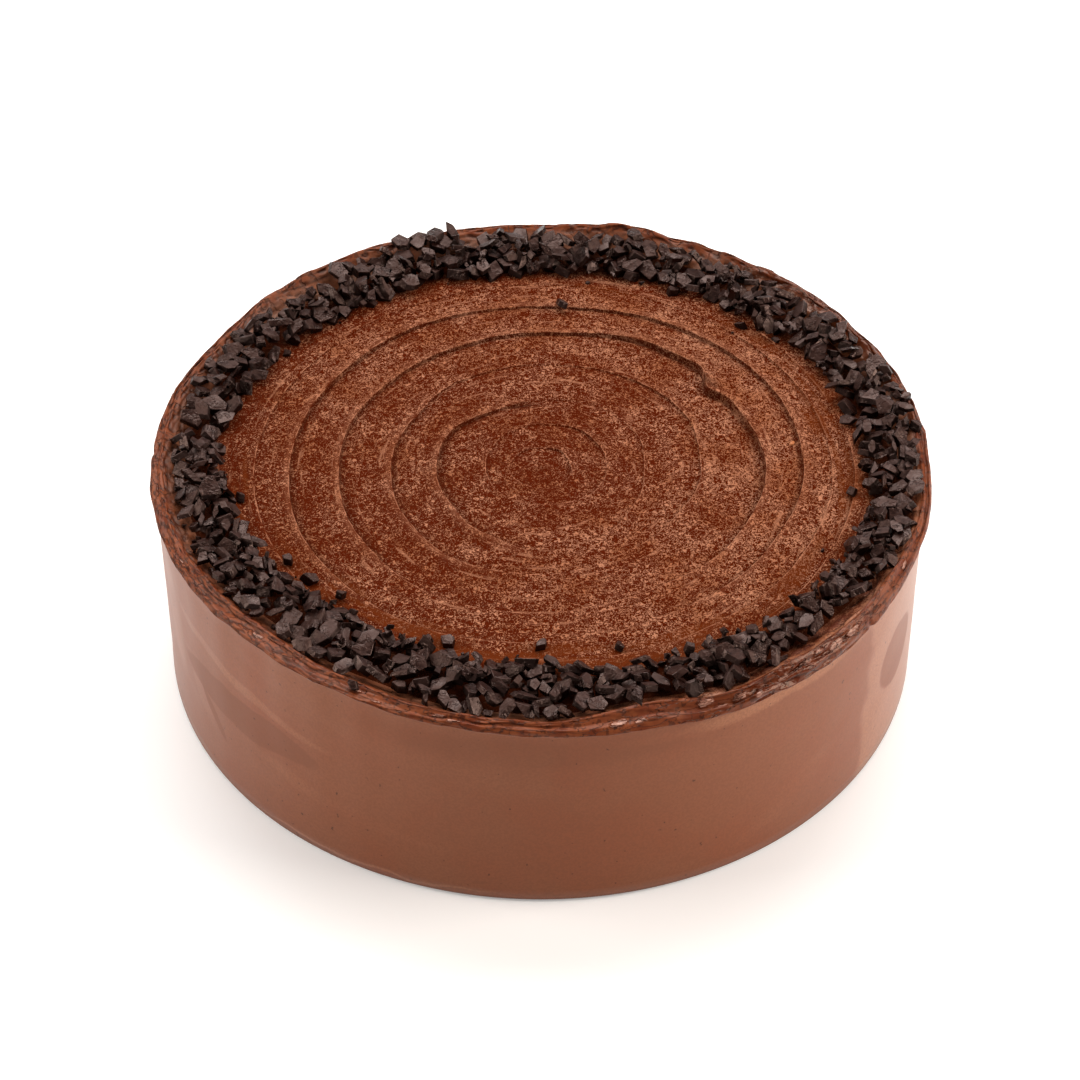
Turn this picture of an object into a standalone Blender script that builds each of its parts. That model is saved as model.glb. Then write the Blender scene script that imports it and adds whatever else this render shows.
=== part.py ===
"""A whole round chocolate cake: smooth side coat, rough rim, knife ridges and a border of chopped chocolate.

Metres, +Z up. The origin is the centre of the flat base. Azimuth is measured from +X towards +Y.
"""

import math
import random

import bmesh
import bpy
from mathutils import Euler, Matrix, Vector

MM = 0.001

# Driving sizes of the cake
FOOT_RADIUS = 117.2 * MM
FOOT_BEVEL = 0.9 * MM
WALL_RADIUS = 118.4 * MM
CREAM_LEVEL = 69.0 * MM
SEGMENTS = 72

# Every table round the cake starts at +X and is in millimetres, evenly spaced over the full turn.
# The rim: its crest, and the lip that stands out over the side coat. Rises count from the cream's level
CREST_RADIUS = (117.5, 117.8, 118.0, 118.0, 118.3, 118.8, 117.6, 117.6, 118.4, 118.6, 117.2, 117.5,
                117.0, 116.0, 114.0, 112.6, 113.4, 115.2, 115.8, 113.4, 116.6, 116.6, 117.2, 117.6)
CREST_RISE = (3.6, 3.8, 4.0, 4.6, 4.4, 5.4, 4.2, 4.0, 5.0, 4.4, 3.4, 3.8,
              3.6, 3.8, 4.8, 5.6, 5.4, 5.0, 4.6, 5.4, 4.4, 4.2, 3.8, 3.4)
LIP_RADIUS = (120.1, 120.1, 120.3, 120.2, 119.9, 120.2, 119.6, 119.6, 120.2, 120.3, 119.4, 119.9,
              120.0, 119.6, 118.9, 118.2, 118.2, 118.8, 119.2, 119.6, 120.1, 120.2, 120.3, 120.3)
LIP_RISE = (2.0, 2.2, 2.4, 2.8, 2.8, 3.4, 2.8, 2.6, 3.2, 2.8, 2.2, 2.6,
            2.6, 2.8, 3.6, 4.2, 4.0, 3.0, 2.2, 1.6, -0.2, -0.8, -0.6, 0.4)
SHOULDER_BULGE = 0.7 * MM
UNDER_LIP_DROP = 2.2 * MM
UNDER_LIP_INSET = 0.9 * MM

# Waves that make the rim rough, on top of its tables
RIM_WAVES = 9
RIM_FIRST_WAVE = 9
RIM_WAVE_HEIGHT = 0.45 * MM
RIM_WAVE_RADIUS = 0.4 * MM
RIM_SEED = 11

# Ridges that the palette knife left, from the middle out: each one's radius and height round the cake
RIDGES = (
    ((9.5, 9.7, 10.0, 10.0, 9.8, 9.6, 9.5, 9.3, 9.2, 9.3, 9.4, 9.5),
     (0.4, 0.5, 0.6, 0.6, 0.5, 0.4, 0.3, 0.3, 0.3, 0.3, 0.3, 0.3)),
    ((20.5, 21.0, 22.5, 21.0, 19.5, 18.0, 17.0, 16.8, 16.5, 17.0, 18.0, 19.5),
     (0.4, 0.5, 0.6, 0.6, 0.5, 0.4, 0.4, 0.3, 0.2, 0.2, 0.3, 0.4)),
    ((32.0, 34.0, 34.5, 33.0, 31.0, 33.0, 32.0, 32.3, 35.0, 38.0, 36.0, 33.0),
     (0.3, 0.3, 0.3, 0.6, 1.0, 1.2, 1.4, 1.3, 1.0, 0.4, 0.3, 0.3)),
    ((49.5, 52.0, 51.5, 50.5, 49.5, 46.0, 46.0, 47.3, 49.5, 48.5, 46.0, 46.5),
     (0.5, 0.6, 0.6, 0.5, 0.6, 0.9, 0.9, 0.8, 0.6, 0.3, 0.3, 0.5)),
    ((69.5, 67.5, 69.2, 66.2, 64.2, 63.0, 62.3, 63.5, 65.5, 65.0, 64.5, 67.0),
     (1.4, 2.0, 2.1, 1.8, 1.4, 1.1, 0.9, 0.7, 0.4, 0.3, 0.4, 0.9)),
    ((81.0, 82.5, 81.5, 79.5, 79.5, 77.7, 77.5, 78.8, 80.0, 78.0, 76.0, 78.0),
     (0.9, 1.0, 1.2, 1.3, 1.3, 1.1, 1.0, 0.8, 0.4, 0.3, 0.4, 0.7)),
)
RIDGE_STEEP_SIDE = 1.5 * MM
MIDDLE_RISE = 0.4 * MM

# The border of chopped chocolate: where the middles of its chips begin and end
BORDER_INNER = (100.0, 99.0, 100.0, 98.5, 100.0, 97.0, 96.0, 97.5, 97.0, 99.0, 99.0, 99.0,
                100.0, 95.0, 93.5, 89.5, 89.5, 91.0, 90.0, 94.5, 95.0, 99.5, 100.0, 102.0)
BORDER_OUTER = (112.5, 112.5, 112.0, 110.5, 111.0, 111.5, 110.5, 112.0, 109.5, 109.5, 111.5, 111.0,
                110.5, 109.5, 108.0, 106.5, 108.0, 110.0, 110.5, 108.5, 111.5, 110.0, 112.0, 112.5)
BORDER_FOOT = 3.0 * MM
BORDER_CORE_RISE = 2.3 * MM

# One chip: a plate with four or five corners, slanted broken sides and a random tilt
SHARD_SEED = 5
SHARD_COUNT = 228
SHARD_CORNERS = (4, 5, 5)
SHARD_CORNER_JITTER = 0.28
SHARD_REACH = (0.82, 1.0)
SHARD_SLANT = (0.78, 1.08)
SHARD_TOP_SHARE = (0.8, 1.1)
SHARD_LENGTH = (5.8 * MM, 9.6 * MM)
SHARD_WIDTH_SHARE = (0.55, 0.9)
SHARD_THICKNESS = (1.8 * MM, 3.2 * MM)
SHARD_TILT = 34.0
SHARD_LIFT = (0.5 * MM, 2.0 * MM)
SHARD_SPACING = (5.1 * MM, 6.8 * MM)
TRIES_PER_SHARD = 80

# Chips that lie apart on the cream or up on the rim, as radius in millimetres and azimuth in degrees
STRAY_SHARDS = (
    (79.0, 85.0), (94.0, 47.0), (96.5, 63.5), (96.0, 352.5), (83.5, 286.0), (80.5, 270.0), (83.5, 251.0),
    (84.5, 247.0), (84.0, 225.0), (86.5, 217.0), (87.5, 210.0), (93.0, 189.0), (115.4, 242.0),
    (117.6, 7.5), (117.4, 13.5),
)
STRAY_LENGTH = (4.2 * MM, 6.0 * MM)

CREAM_COLOUR = (0.115, 0.036, 0.019, 1.0)
CREAM_ROUGHNESS = 0.45
DARK_COLOUR = (0.018, 0.011, 0.010, 1.0)
DARK_ROUGHNESS = 0.4


def material(name, colour, roughness):
    """A Principled material of one colour."""
    made = bpy.data.materials.new(name)
    made.use_nodes = True
    shader = made.node_tree.nodes["Principled BSDF"]
    shader.inputs["Base Color"].default_value = colour
    shader.inputs["Roughness"].default_value = roughness
    shader.inputs["Metallic"].default_value = 0.0
    return made


def waves(seed):
    """Turns, shares and phases of a closed wavy line round the cake."""
    draw = random.Random(seed)
    found = []
    for step in range(RIM_WAVES):
        turns = RIM_FIRST_WAVE + step + draw.randrange(3)
        found.append((turns, draw.uniform(0.4, 1.0), draw.uniform(0, math.tau)))
    return found


def wavy(terms, azimuth):
    """The wavy line's value at an azimuth, about -1 to 1."""
    half_total = sum(share for _, share, _ in terms) / 2
    return sum(share * math.sin(turns * azimuth + phase) for turns, share, phase in terms) / half_total


HEIGHT_WAVES = waves(RIM_SEED)
RADIUS_WAVES = waves(RIM_SEED + 1)


def around(table, azimuth):
    """A table's value at an azimuth, eased between its neighbours, in metres."""
    place = (azimuth % math.tau) / math.tau * len(table)
    low = int(place) % len(table)
    blend = (1 - math.cos(math.pi * (place - int(place)))) / 2
    return (table[low] * (1 - blend) + table[(low + 1) % len(table)] * blend) * MM


def rim_points(azimuth):
    """The rim's crest, shoulder and lip, as (radius, height)."""
    swell = RIM_WAVE_HEIGHT * wavy(HEIGHT_WAVES, azimuth)
    shift = RIM_WAVE_RADIUS * wavy(RADIUS_WAVES, azimuth)
    crest = around(CREST_RADIUS, azimuth) + shift, CREAM_LEVEL + around(CREST_RISE, azimuth) + swell
    lip = around(LIP_RADIUS, azimuth) + shift / 2, CREAM_LEVEL + around(LIP_RISE, azimuth) + swell / 2
    shoulder = (crest[0] + lip[0]) / 2 + SHOULDER_BULGE, (crest[1] + lip[1]) / 2 + SHOULDER_BULGE
    return [crest, shoulder, lip]


def top_points(azimuth):
    """The top's outline from near the middle out over the border to the lip, as (radius, height)."""
    points = []
    for radii, heights in RIDGES:
        crest = around(radii, azimuth)
        points.append((crest - RIDGE_STEEP_SIDE, CREAM_LEVEL))
        points.append((crest, CREAM_LEVEL + around(heights, azimuth)))
    inner, outer = around(BORDER_INNER, azimuth), around(BORDER_OUTER, azimuth)
    points.append((inner - BORDER_FOOT, CREAM_LEVEL))
    points.append(((inner + outer) / 2, CREAM_LEVEL + BORDER_CORE_RISE))
    return points + rim_points(azimuth)


def side_points(lip):
    """The side coat's outline from under the lip down to the base."""
    return [
        (min(WALL_RADIUS, lip[0] - UNDER_LIP_INSET), lip[1] - UNDER_LIP_DROP),
        (FOOT_RADIUS, FOOT_BEVEL),
        (FOOT_RADIUS - FOOT_BEVEL, 0.0),
    ]


def polar(radius, azimuth, height):
    """A point of the cake from its distance to the middle, its azimuth and its height."""
    return Vector((radius * math.cos(azimuth), radius * math.sin(azimuth), height))


def cake_body():
    """The cake without its border: rings of points, closed by a fan at the middle of the top and base."""
    mesh = bmesh.new()
    columns = []
    for step in range(SEGMENTS):
        azimuth = math.tau * step / SEGMENTS
        line = top_points(azimuth)
        line += side_points(line[-1])
        columns.append([mesh.verts.new(polar(radius, azimuth, height)) for radius, height in line])
    top = mesh.verts.new((0, 0, CREAM_LEVEL + MIDDLE_RISE))
    base = mesh.verts.new((0, 0, 0))
    for step in range(SEGMENTS):
        this, following = columns[step], columns[(step + 1) % SEGMENTS]
        mesh.faces.new((top, this[0], following[0]))
        mesh.faces.new((base, following[-1], this[-1]))
        for row in range(len(this) - 1):
            mesh.faces.new((this[row], this[row + 1], following[row + 1], following[row]))
    bmesh.ops.recalc_face_normals(mesh, faces=mesh.faces)
    bmesh.ops.triangulate(mesh, faces=[face for face in mesh.faces if len(face.verts) > 3])
    data = bpy.data.meshes.new("cake")
    mesh.to_mesh(data)
    mesh.free()
    return data


def surface_height(radius, azimuth):
    """The height of the cream at a point of the top or the rim."""
    line = [(0.0, CREAM_LEVEL)] + top_points(azimuth)
    for (r0, z0), (r1, z1) in zip(line[:-1], line[1:]):
        if r0 <= radius <= r1:
            return z0 + (z1 - z0) * (radius - r0) / (r1 - r0)
    return CREAM_LEVEL


def shard_points(draw, length):
    """A chip of snapped chocolate: the corners of its lower and upper face."""
    corners = draw.choice(SHARD_CORNERS)
    width = length * draw.uniform(*SHARD_WIDTH_SHARE)
    thickness = draw.uniform(*SHARD_THICKNESS)
    turn = draw.uniform(0, math.tau)
    points = []
    for corner in range(corners):
        jitter = draw.uniform(-SHARD_CORNER_JITTER, SHARD_CORNER_JITTER)
        angle = turn + math.tau * (corner + jitter) / corners
        reach = draw.uniform(*SHARD_REACH) / 2
        x, y = reach * length * math.cos(angle), reach * width * math.sin(angle)
        slant = draw.uniform(*SHARD_SLANT)
        points.append(Vector((x, y, -thickness / 2)))
        points.append(Vector((x * slant, y * slant, thickness / 2 * draw.uniform(*SHARD_TOP_SHARE))))
    return points


def shard_places():
    """The draws so far, and each chip's (radius, azimuth, length): the border's spread apart, then the strays."""
    draw = random.Random(SHARD_SEED)
    places = []
    spots = []
    for _ in range(TRIES_PER_SHARD * SHARD_COUNT):
        azimuth = draw.uniform(0, math.tau)
        inner, outer = around(BORDER_INNER, azimuth), around(BORDER_OUTER, azimuth)
        radius = draw.uniform(inner, outer)
        spot = polar(radius, azimuth, 0)
        spacing = draw.uniform(*SHARD_SPACING)
        if all((spot - other).length > spacing for other in spots):
            spots.append(spot)
            places.append((radius, azimuth, draw.uniform(*SHARD_LENGTH)))
        if len(places) == SHARD_COUNT:
            break
    for radius, degrees in STRAY_SHARDS:
        places.append((radius * MM, math.radians(degrees), draw.uniform(*STRAY_LENGTH)))
    return draw, places


def shard_pose(draw, radius, azimuth):
    """How a chip lies: tilted at random and sunk a little into the cream."""
    tilt = math.radians(SHARD_TILT)
    turn = Euler((draw.uniform(-tilt, tilt), draw.uniform(-tilt, tilt), draw.uniform(0, math.tau)))
    height = surface_height(radius, azimuth) + draw.uniform(*SHARD_LIFT)
    return Matrix.Translation(polar(radius, azimuth, height)) @ turn.to_matrix().to_4x4()


def chopped_chocolate(finish):
    """Each chip as its own closed object, in one collection."""
    group = bpy.data.collections.new("chopped_chocolate")
    bpy.context.scene.collection.children.link(group)
    draw, places = shard_places()
    for number, (radius, azimuth, length) in enumerate(places):
        mesh = bmesh.new()
        points = [mesh.verts.new(point) for point in shard_points(draw, length)]
        bmesh.ops.convex_hull(mesh, input=points)
        bmesh.ops.recalc_face_normals(mesh, faces=mesh.faces)
        mesh.transform(shard_pose(draw, radius, azimuth))
        data = bpy.data.meshes.new(f"chip_{number}")
        mesh.to_mesh(data)
        mesh.free()
        data.materials.append(finish)
        group.objects.link(bpy.data.objects.new(f"chip_{number}", data))
    return group


def join_chips(cake, group):
    """One union fuses the chips to the cake. It is applied, and the chips' own objects are removed."""
    union = cake.modifiers.new("fuse_chips", "BOOLEAN")
    union.operation = "UNION"
    union.operand_type = "COLLECTION"
    union.collection = group
    union.solver = "EXACT"
    union.material_mode = "TRANSFER"
    bpy.context.view_layer.update()
    graph = bpy.context.evaluated_depsgraph_get()
    joined = bpy.data.meshes.new_from_object(cake.evaluated_get(graph))
    cake.modifiers.remove(union)
    cake.data = joined
    for chip in list(group.objects):
        bpy.data.objects.remove(chip)
    bpy.data.collections.remove(group)


def joined_points(start, unseen):
    """Every point that edges join to the first one, each taken out of the unseen."""
    body = set()
    edge = [start]
    while edge:
        point = edge.pop()
        body.add(point)
        near = {link.other_vert(point) for link in point.link_edges} & unseen
        unseen -= near
        edge.extend(near)
    return body


def keep_largest_body(data):
    """Drops loose scraps and the walls of sealed hollows, so that one closed body is left."""
    mesh = bmesh.new()
    mesh.from_mesh(data)
    unseen = set(mesh.verts)
    bodies = []
    while unseen:
        bodies.append(joined_points(unseen.pop(), unseen))
    largest = max(bodies, key=len)
    scraps = [point for point in mesh.verts if point not in largest]
    bmesh.ops.delete(mesh, geom=scraps, context="VERTS")
    bmesh.ops.triangulate(mesh, faces=mesh.faces)
    mesh.to_mesh(data)
    mesh.free()
    print(f"{len(bodies)} bodies, {len(data.polygons)} triangles")


def main():
    """Builds the cake and fuses its border to it."""
    for thing in list(bpy.data.objects):
        bpy.data.objects.remove(thing)
    cream = material("chocolate_cream", CREAM_COLOUR, CREAM_ROUGHNESS)
    dark = material("dark_chocolate", DARK_COLOUR, DARK_ROUGHNESS)
    cake = bpy.data.objects.new("cake", cake_body())
    bpy.context.scene.collection.objects.link(cake)
    cake.data.materials.append(cream)
    join_chips(cake, chopped_chocolate(dark))
    keep_largest_body(cake.data)


main()
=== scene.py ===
"""The looks of a whole round chocolate cake.

Dusted and ridged cream with a rough rim, and a border of chopped dark chocolate. Metres, +Z up.
The origin is the centre of the flat base, and azimuth is measured from +X towards +Y.
"""

import logging
import math
import random
from dataclasses import dataclass
from enum import Enum
from typing import Sequence

import bmesh
import bpy
import numpy as np
from mathutils import Euler, Matrix, Vector


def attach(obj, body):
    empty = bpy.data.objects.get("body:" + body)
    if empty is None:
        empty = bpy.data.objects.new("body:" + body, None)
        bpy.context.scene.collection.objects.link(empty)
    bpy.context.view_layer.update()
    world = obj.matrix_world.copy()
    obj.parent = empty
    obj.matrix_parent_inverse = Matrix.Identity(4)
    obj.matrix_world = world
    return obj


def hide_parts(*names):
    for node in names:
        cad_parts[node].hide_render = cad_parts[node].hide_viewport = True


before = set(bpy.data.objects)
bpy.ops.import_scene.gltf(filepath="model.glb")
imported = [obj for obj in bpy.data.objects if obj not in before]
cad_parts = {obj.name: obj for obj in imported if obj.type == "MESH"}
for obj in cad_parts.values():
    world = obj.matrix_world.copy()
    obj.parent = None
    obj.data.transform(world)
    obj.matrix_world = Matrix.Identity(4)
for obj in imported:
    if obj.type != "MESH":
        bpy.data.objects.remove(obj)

LOG = logging.getLogger("cake")
MM = 0.001

Array = np.ndarray
Numbers = Array | float
Layers = tuple[Array, Array, Array]
Pair = tuple[float, float]
Triple = tuple[float, float, float]
Quad = tuple[float, float, float, float]
Colour = Quad
RidgeTable = tuple[tuple[float, ...], tuple[float, ...]]
Stretches = tuple[Pair, Pair]
Thing = bpy.types.Object
ChipMesh = bmesh.types.BMesh
Socket = bpy.types.NodeSocket
Input = Socket | float | Triple | Colour


class Slot(Enum):
    """The record's material slots."""

    CREAM = "chocolate_cream"
    DARK = "dark_chocolate"


class Noise:
    """A smooth, seeded noise over azimuth and one more coordinate, closed round the cake."""

    def __init__(self, seed: int, turns: tuple[int, int], rate: float = 0.0, terms: int = 24) -> None:
        """Draws the waves that make up the noise.

        Args:
            seed: Seed of the draws.
            turns: Least and most waves round the cake.
            rate: Greatest number of waves per unit of the second coordinate.
            terms: How many waves are added up.
        """
        draw = random.Random(seed)
        self.waves = [
            (draw.randint(*turns), draw.uniform(-rate, rate), draw.uniform(0, math.tau))
            for _ in range(terms)
        ]

    def at(self, azimuth: Array, other: Numbers = 0.0) -> Array:
        """The noise's value.

        Args:
            azimuth: Azimuths in radians.
            other: The second coordinate, of a shape that goes with azimuth.

        Returns:
            Values of about -1 to 1, with a standard deviation of about 0.5.
        """
        total = 0.0
        for turns, rate, phase in self.waves:
            total = total + np.sin(turns * azimuth + math.tau * rate * other + phase)
        return total / math.sqrt(2.0 * len(self.waves))


def around(table: Sequence[float], azimuth: Numbers) -> Array:
    """A table's value at an azimuth, eased between its neighbours.

    Args:
        table: Values in millimetres, evenly spaced round the cake from +X.
        azimuth: Azimuths in radians.

    Returns:
        The values in metres.
    """
    values = np.asarray(table, float)
    place = np.mod(azimuth, math.tau) / math.tau * len(values)
    low = np.floor(place).astype(int) % len(values)
    blend = (1 - np.cos(math.pi * (place - np.floor(place)))) / 2
    return (values[low] * (1 - blend) + values[(low + 1) % len(values)] * blend) * MM


def turned(azimuth: Numbers, centre: float) -> Numbers:
    """How far azimuths in radians lie from one in degrees, in radians from -pi to pi."""
    return np.mod(azimuth - math.radians(centre) + math.pi, math.tau) - math.pi


def hump(value: Numbers, centre: float, width: Numbers) -> Numbers:
    """A smooth hump: 1 at its centre, and about a third at a width from it."""
    return np.exp(-(((value - centre) / width) ** 2))


def bell(azimuth: Numbers, centre: float, width: float) -> Numbers:
    """A smooth hump round one azimuth.

    Args:
        azimuth: Azimuths in radians.
        centre: Middle of the hump in degrees.
        width: Half width of the hump in degrees.

    Returns:
        1 in the middle, falling to 0.
    """
    return hump(turned(azimuth, centre), 0.0, math.radians(width))


def smooth(value: Array, low: float, high: float) -> Array:
    """Eases from 0 at low to 1 at high."""
    share = np.clip((value - low) / (high - low), 0.0, 1.0)
    return share * share * (3 - 2 * share)


def band(value: Array, rise: Pair, fall: Pair) -> Array:
    """Eases from 0 to 1 in one stretch of a value, and back to 0 in another."""
    return smooth(value, *rise) * (1 - smooth(value, *fall))


@dataclass(frozen=True)
class Varied:
    """A value that varies round the cake: a base and bells (amount, centre, width in degrees)."""

    base: float
    bells: tuple[Triple, ...]

    def at(self, azimuth: Numbers) -> Numbers:
        """The value at some azimuths.

        Args:
            azimuth: Azimuths in radians.

        Returns:
            The base with all bells on it.
        """
        value = self.base
        for amount, centre, width in self.bells:
            value = value + amount * bell(azimuth, centre, width)
        return value


def linked(name: str, data: bpy.types.ID) -> Thing:
    """Makes an object and links it to the scene.

    Args:
        name: The object's name.
        data: Its mesh, light or camera.

    Returns:
        The object.
    """
    thing = bpy.data.objects.new(name, data)
    bpy.context.scene.collection.objects.link(thing)
    return thing


def linked_mesh(name: str, mesh: ChipMesh) -> Thing:
    """Makes an object of a mesh that was being edited, and frees the latter.

    Args:
        name: The object's name.
        mesh: The edited mesh.

    Returns:
        The object.
    """
    data = bpy.data.meshes.new(name)
    mesh.to_mesh(data)
    mesh.free()
    return linked(name, data)


@dataclass(frozen=True)
class CakeShape:
    """The cake's form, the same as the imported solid's, and finer ridges that only this shows.

    Tables are in millimetres, evenly spaced round the cake from +X. A ridge's two tables are its
    radius and its height.
    """

    foot_radius: float = 117.2 * MM
    foot_bevel: float = 0.9 * MM
    wall_radius: float = 118.4 * MM
    level: float = 69.0 * MM
    crest_radius: tuple[float, ...] = (
        117.5, 117.8, 118.0, 118.0, 118.3, 118.8, 117.6, 117.6, 118.4, 118.6, 117.2, 117.5,
        117.0, 116.0, 114.0, 112.6, 113.4, 115.2, 115.8, 113.4, 116.6, 116.6, 117.2, 117.6,
    )
    crest_rise: tuple[float, ...] = (
        3.6, 3.8, 4.0, 4.6, 4.4, 5.4, 4.2, 4.0, 5.0, 4.4, 3.4, 3.8,
        3.6, 3.8, 4.8, 5.6, 5.4, 5.0, 4.6, 5.4, 4.4, 4.2, 3.8, 3.4,
    )
    lip_radius: tuple[float, ...] = (
        120.1, 120.1, 120.3, 120.2, 119.9, 120.2, 119.6, 119.6, 120.2, 120.3, 119.4, 119.9,
        120.0, 119.6, 118.9, 118.2, 118.2, 118.8, 119.2, 119.6, 120.1, 120.2, 120.3, 120.3,
    )
    lip_rise: tuple[float, ...] = (
        2.0, 2.2, 2.4, 2.8, 2.8, 3.4, 2.8, 2.6, 3.2, 2.8, 2.2, 2.6,
        2.6, 2.8, 3.6, 4.2, 4.0, 3.0, 2.2, 1.6, -0.2, -0.8, -0.6, 0.4,
    )
    border_inner: tuple[float, ...] = (
        100.0, 99.0, 100.0, 98.5, 100.0, 97.0, 96.0, 97.5, 97.0, 99.0, 99.0, 99.0,
        100.0, 95.0, 93.5, 89.5, 89.5, 91.0, 90.0, 94.5, 95.0, 99.5, 100.0, 102.0,
    )
    border_outer: tuple[float, ...] = (
        112.5, 112.5, 112.0, 110.5, 111.0, 111.5, 110.5, 112.0, 109.5, 109.5, 111.5, 111.0,
        110.5, 109.5, 108.0, 106.5, 108.0, 110.0, 110.5, 108.5, 111.5, 110.0, 112.0, 112.5,
    )
    border_foot: float = 3.0 * MM
    solid_core_rise: float = 2.3 * MM
    shown_core_rise: float = 0.8 * MM
    ridges: tuple[RidgeTable, ...] = (
        ((9.5, 9.7, 10.0, 10.0, 9.8, 9.6, 9.5, 9.3, 9.2, 9.3, 9.4, 9.5),
         (0.4, 0.5, 0.6, 0.6, 0.5, 0.4, 0.3, 0.3, 0.3, 0.3, 0.3, 0.3)),
        ((20.5, 21.0, 22.5, 21.0, 19.5, 18.0, 17.0, 16.8, 16.5, 17.0, 18.0, 19.5),
         (0.4, 0.5, 0.6, 0.6, 0.5, 0.4, 0.4, 0.3, 0.2, 0.2, 0.3, 0.4)),
        ((32.0, 34.0, 34.5, 33.0, 31.0, 33.0, 32.0, 32.3, 35.0, 38.0, 36.0, 33.0),
         (0.3, 0.3, 0.3, 0.6, 1.0, 1.2, 1.4, 1.3, 1.0, 0.4, 0.3, 0.3)),
        ((49.5, 52.0, 51.5, 50.5, 49.5, 46.0, 46.0, 47.3, 49.5, 48.5, 46.0, 46.5),
         (0.5, 0.6, 0.6, 0.5, 0.6, 0.9, 0.9, 0.8, 0.6, 0.3, 0.3, 0.5)),
        ((69.5, 67.5, 69.2, 66.2, 64.2, 63.0, 62.3, 63.5, 65.5, 65.0, 64.5, 67.0),
         (1.4, 2.0, 2.1, 1.8, 1.4, 1.1, 0.9, 0.7, 0.4, 0.3, 0.4, 0.9)),
        ((81.0, 82.5, 81.5, 79.5, 79.5, 77.7, 77.5, 78.8, 80.0, 78.0, 76.0, 78.0),
         (0.9, 1.0, 1.2, 1.3, 1.3, 1.1, 1.0, 0.8, 0.4, 0.3, 0.4, 0.7)),
    )
    fine_ridges: tuple[RidgeTable, ...] = (
        ((90.0, 90.3, 90.8, 91.0, 90.0, 88.5, 88.5, 88.5, 87.3, 86.0, 87.0, 88.0),
         (0.5, 0.45, 0.4, 0.45, 0.5, 0.5, 0.45, 0.3, 0.3, 0.45, 0.5, 0.5)),
        ((96.5, 96.0, 96.5, 97.0, 96.0, 95.0, 95.0, 95.0, 94.5, 94.5, 94.0, 95.5),
         (0.5, 0.5, 0.2, 0.1, 0.1, 0.1, 0.1, 0.1, 0.1, 0.2, 0.5, 0.5)),
    )
    steep_side: float = 1.5 * MM
    middle_rise: float = 0.4 * MM
    crest_bulge: float = 0.7 * MM
    wave_count: int = 9
    first_wave: int = 9
    wave_height: float = 0.45 * MM
    wave_radius: float = 0.4 * MM
    wave_seed: int = 11

    def wavy(self, seed: int, azimuth: Numbers) -> Array:
        """The closed wavy line that makes the rim rough.

        Args:
            seed: Seed of the line.
            azimuth: Azimuths in radians.

        Returns:
            Values of about -1 to 1.
        """
        draw = random.Random(seed)
        value, total = 0.0, 0.0
        for step in range(self.wave_count):
            turns = self.first_wave + step + draw.randrange(3)
            share, phase = draw.uniform(0.4, 1.0), draw.uniform(0, math.tau)
            value = value + share * np.sin(turns * azimuth + phase)
            total += share
        return value / (total / 2)

    def swell(self, azimuth: Numbers) -> Array:
        """How far the rough rim rises over its table, in metres."""
        return self.wave_height * self.wavy(self.wave_seed, azimuth)

    def shift(self, azimuth: Numbers) -> Array:
        """How far the rough rim stands out over its table, in metres."""
        return self.wave_radius * self.wavy(self.wave_seed + 1, azimuth)

    def inner(self, azimuth: Numbers) -> Numbers:
        """The radius of the border's inner edge, in metres."""
        return around(self.border_inner, azimuth)

    def outer(self, azimuth: Numbers) -> Numbers:
        """The radius of the border's outer edge, in metres."""
        return around(self.border_outer, azimuth)

    def crest(self, azimuth: Numbers) -> tuple[Array, Array]:
        """The rim's highest line.

        Args:
            azimuth: Azimuths in radians.

        Returns:
            Its radius and height.
        """
        radius = around(self.crest_radius, azimuth) + self.shift(azimuth)
        return radius, self.level + around(self.crest_rise, azimuth) + self.swell(azimuth)

    def lip(self, azimuth: Numbers) -> tuple[Array, Array]:
        """The rim's outermost line, which stands out over the side coat.

        Args:
            azimuth: Azimuths in radians.

        Returns:
            Its radius and height.
        """
        radius = around(self.lip_radius, azimuth) + self.shift(azimuth) / 2
        return radius, self.level + around(self.lip_rise, azimuth) + self.swell(azimuth) / 2

    def solid_height(self, radius: float, azimuth: float) -> float:
        """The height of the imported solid's cream, on which its chips lie.

        Args:
            radius: Distance to the middle.
            azimuth: Azimuth in radians.

        Returns:
            The height in metres.
        """
        knots = [(0.0, self.level)]
        for radii, heights in self.ridges:
            crest = float(around(radii, azimuth))
            knots.append((crest - self.steep_side, self.level))
            knots.append((crest, self.level + float(around(heights, azimuth))))
        inner = self.inner(azimuth)
        outer = self.outer(azimuth)
        knots.append((inner - self.border_foot, self.level))
        knots.append(((inner + outer) / 2, self.level + self.solid_core_rise))
        crest, lip = np.array(self.crest(azimuth)), np.array(self.lip(azimuth))
        knots += [tuple(crest), tuple((crest + lip) / 2 + self.crest_bulge), tuple(lip)]
        return float(np.interp(radius, *zip(*knots)))


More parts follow.
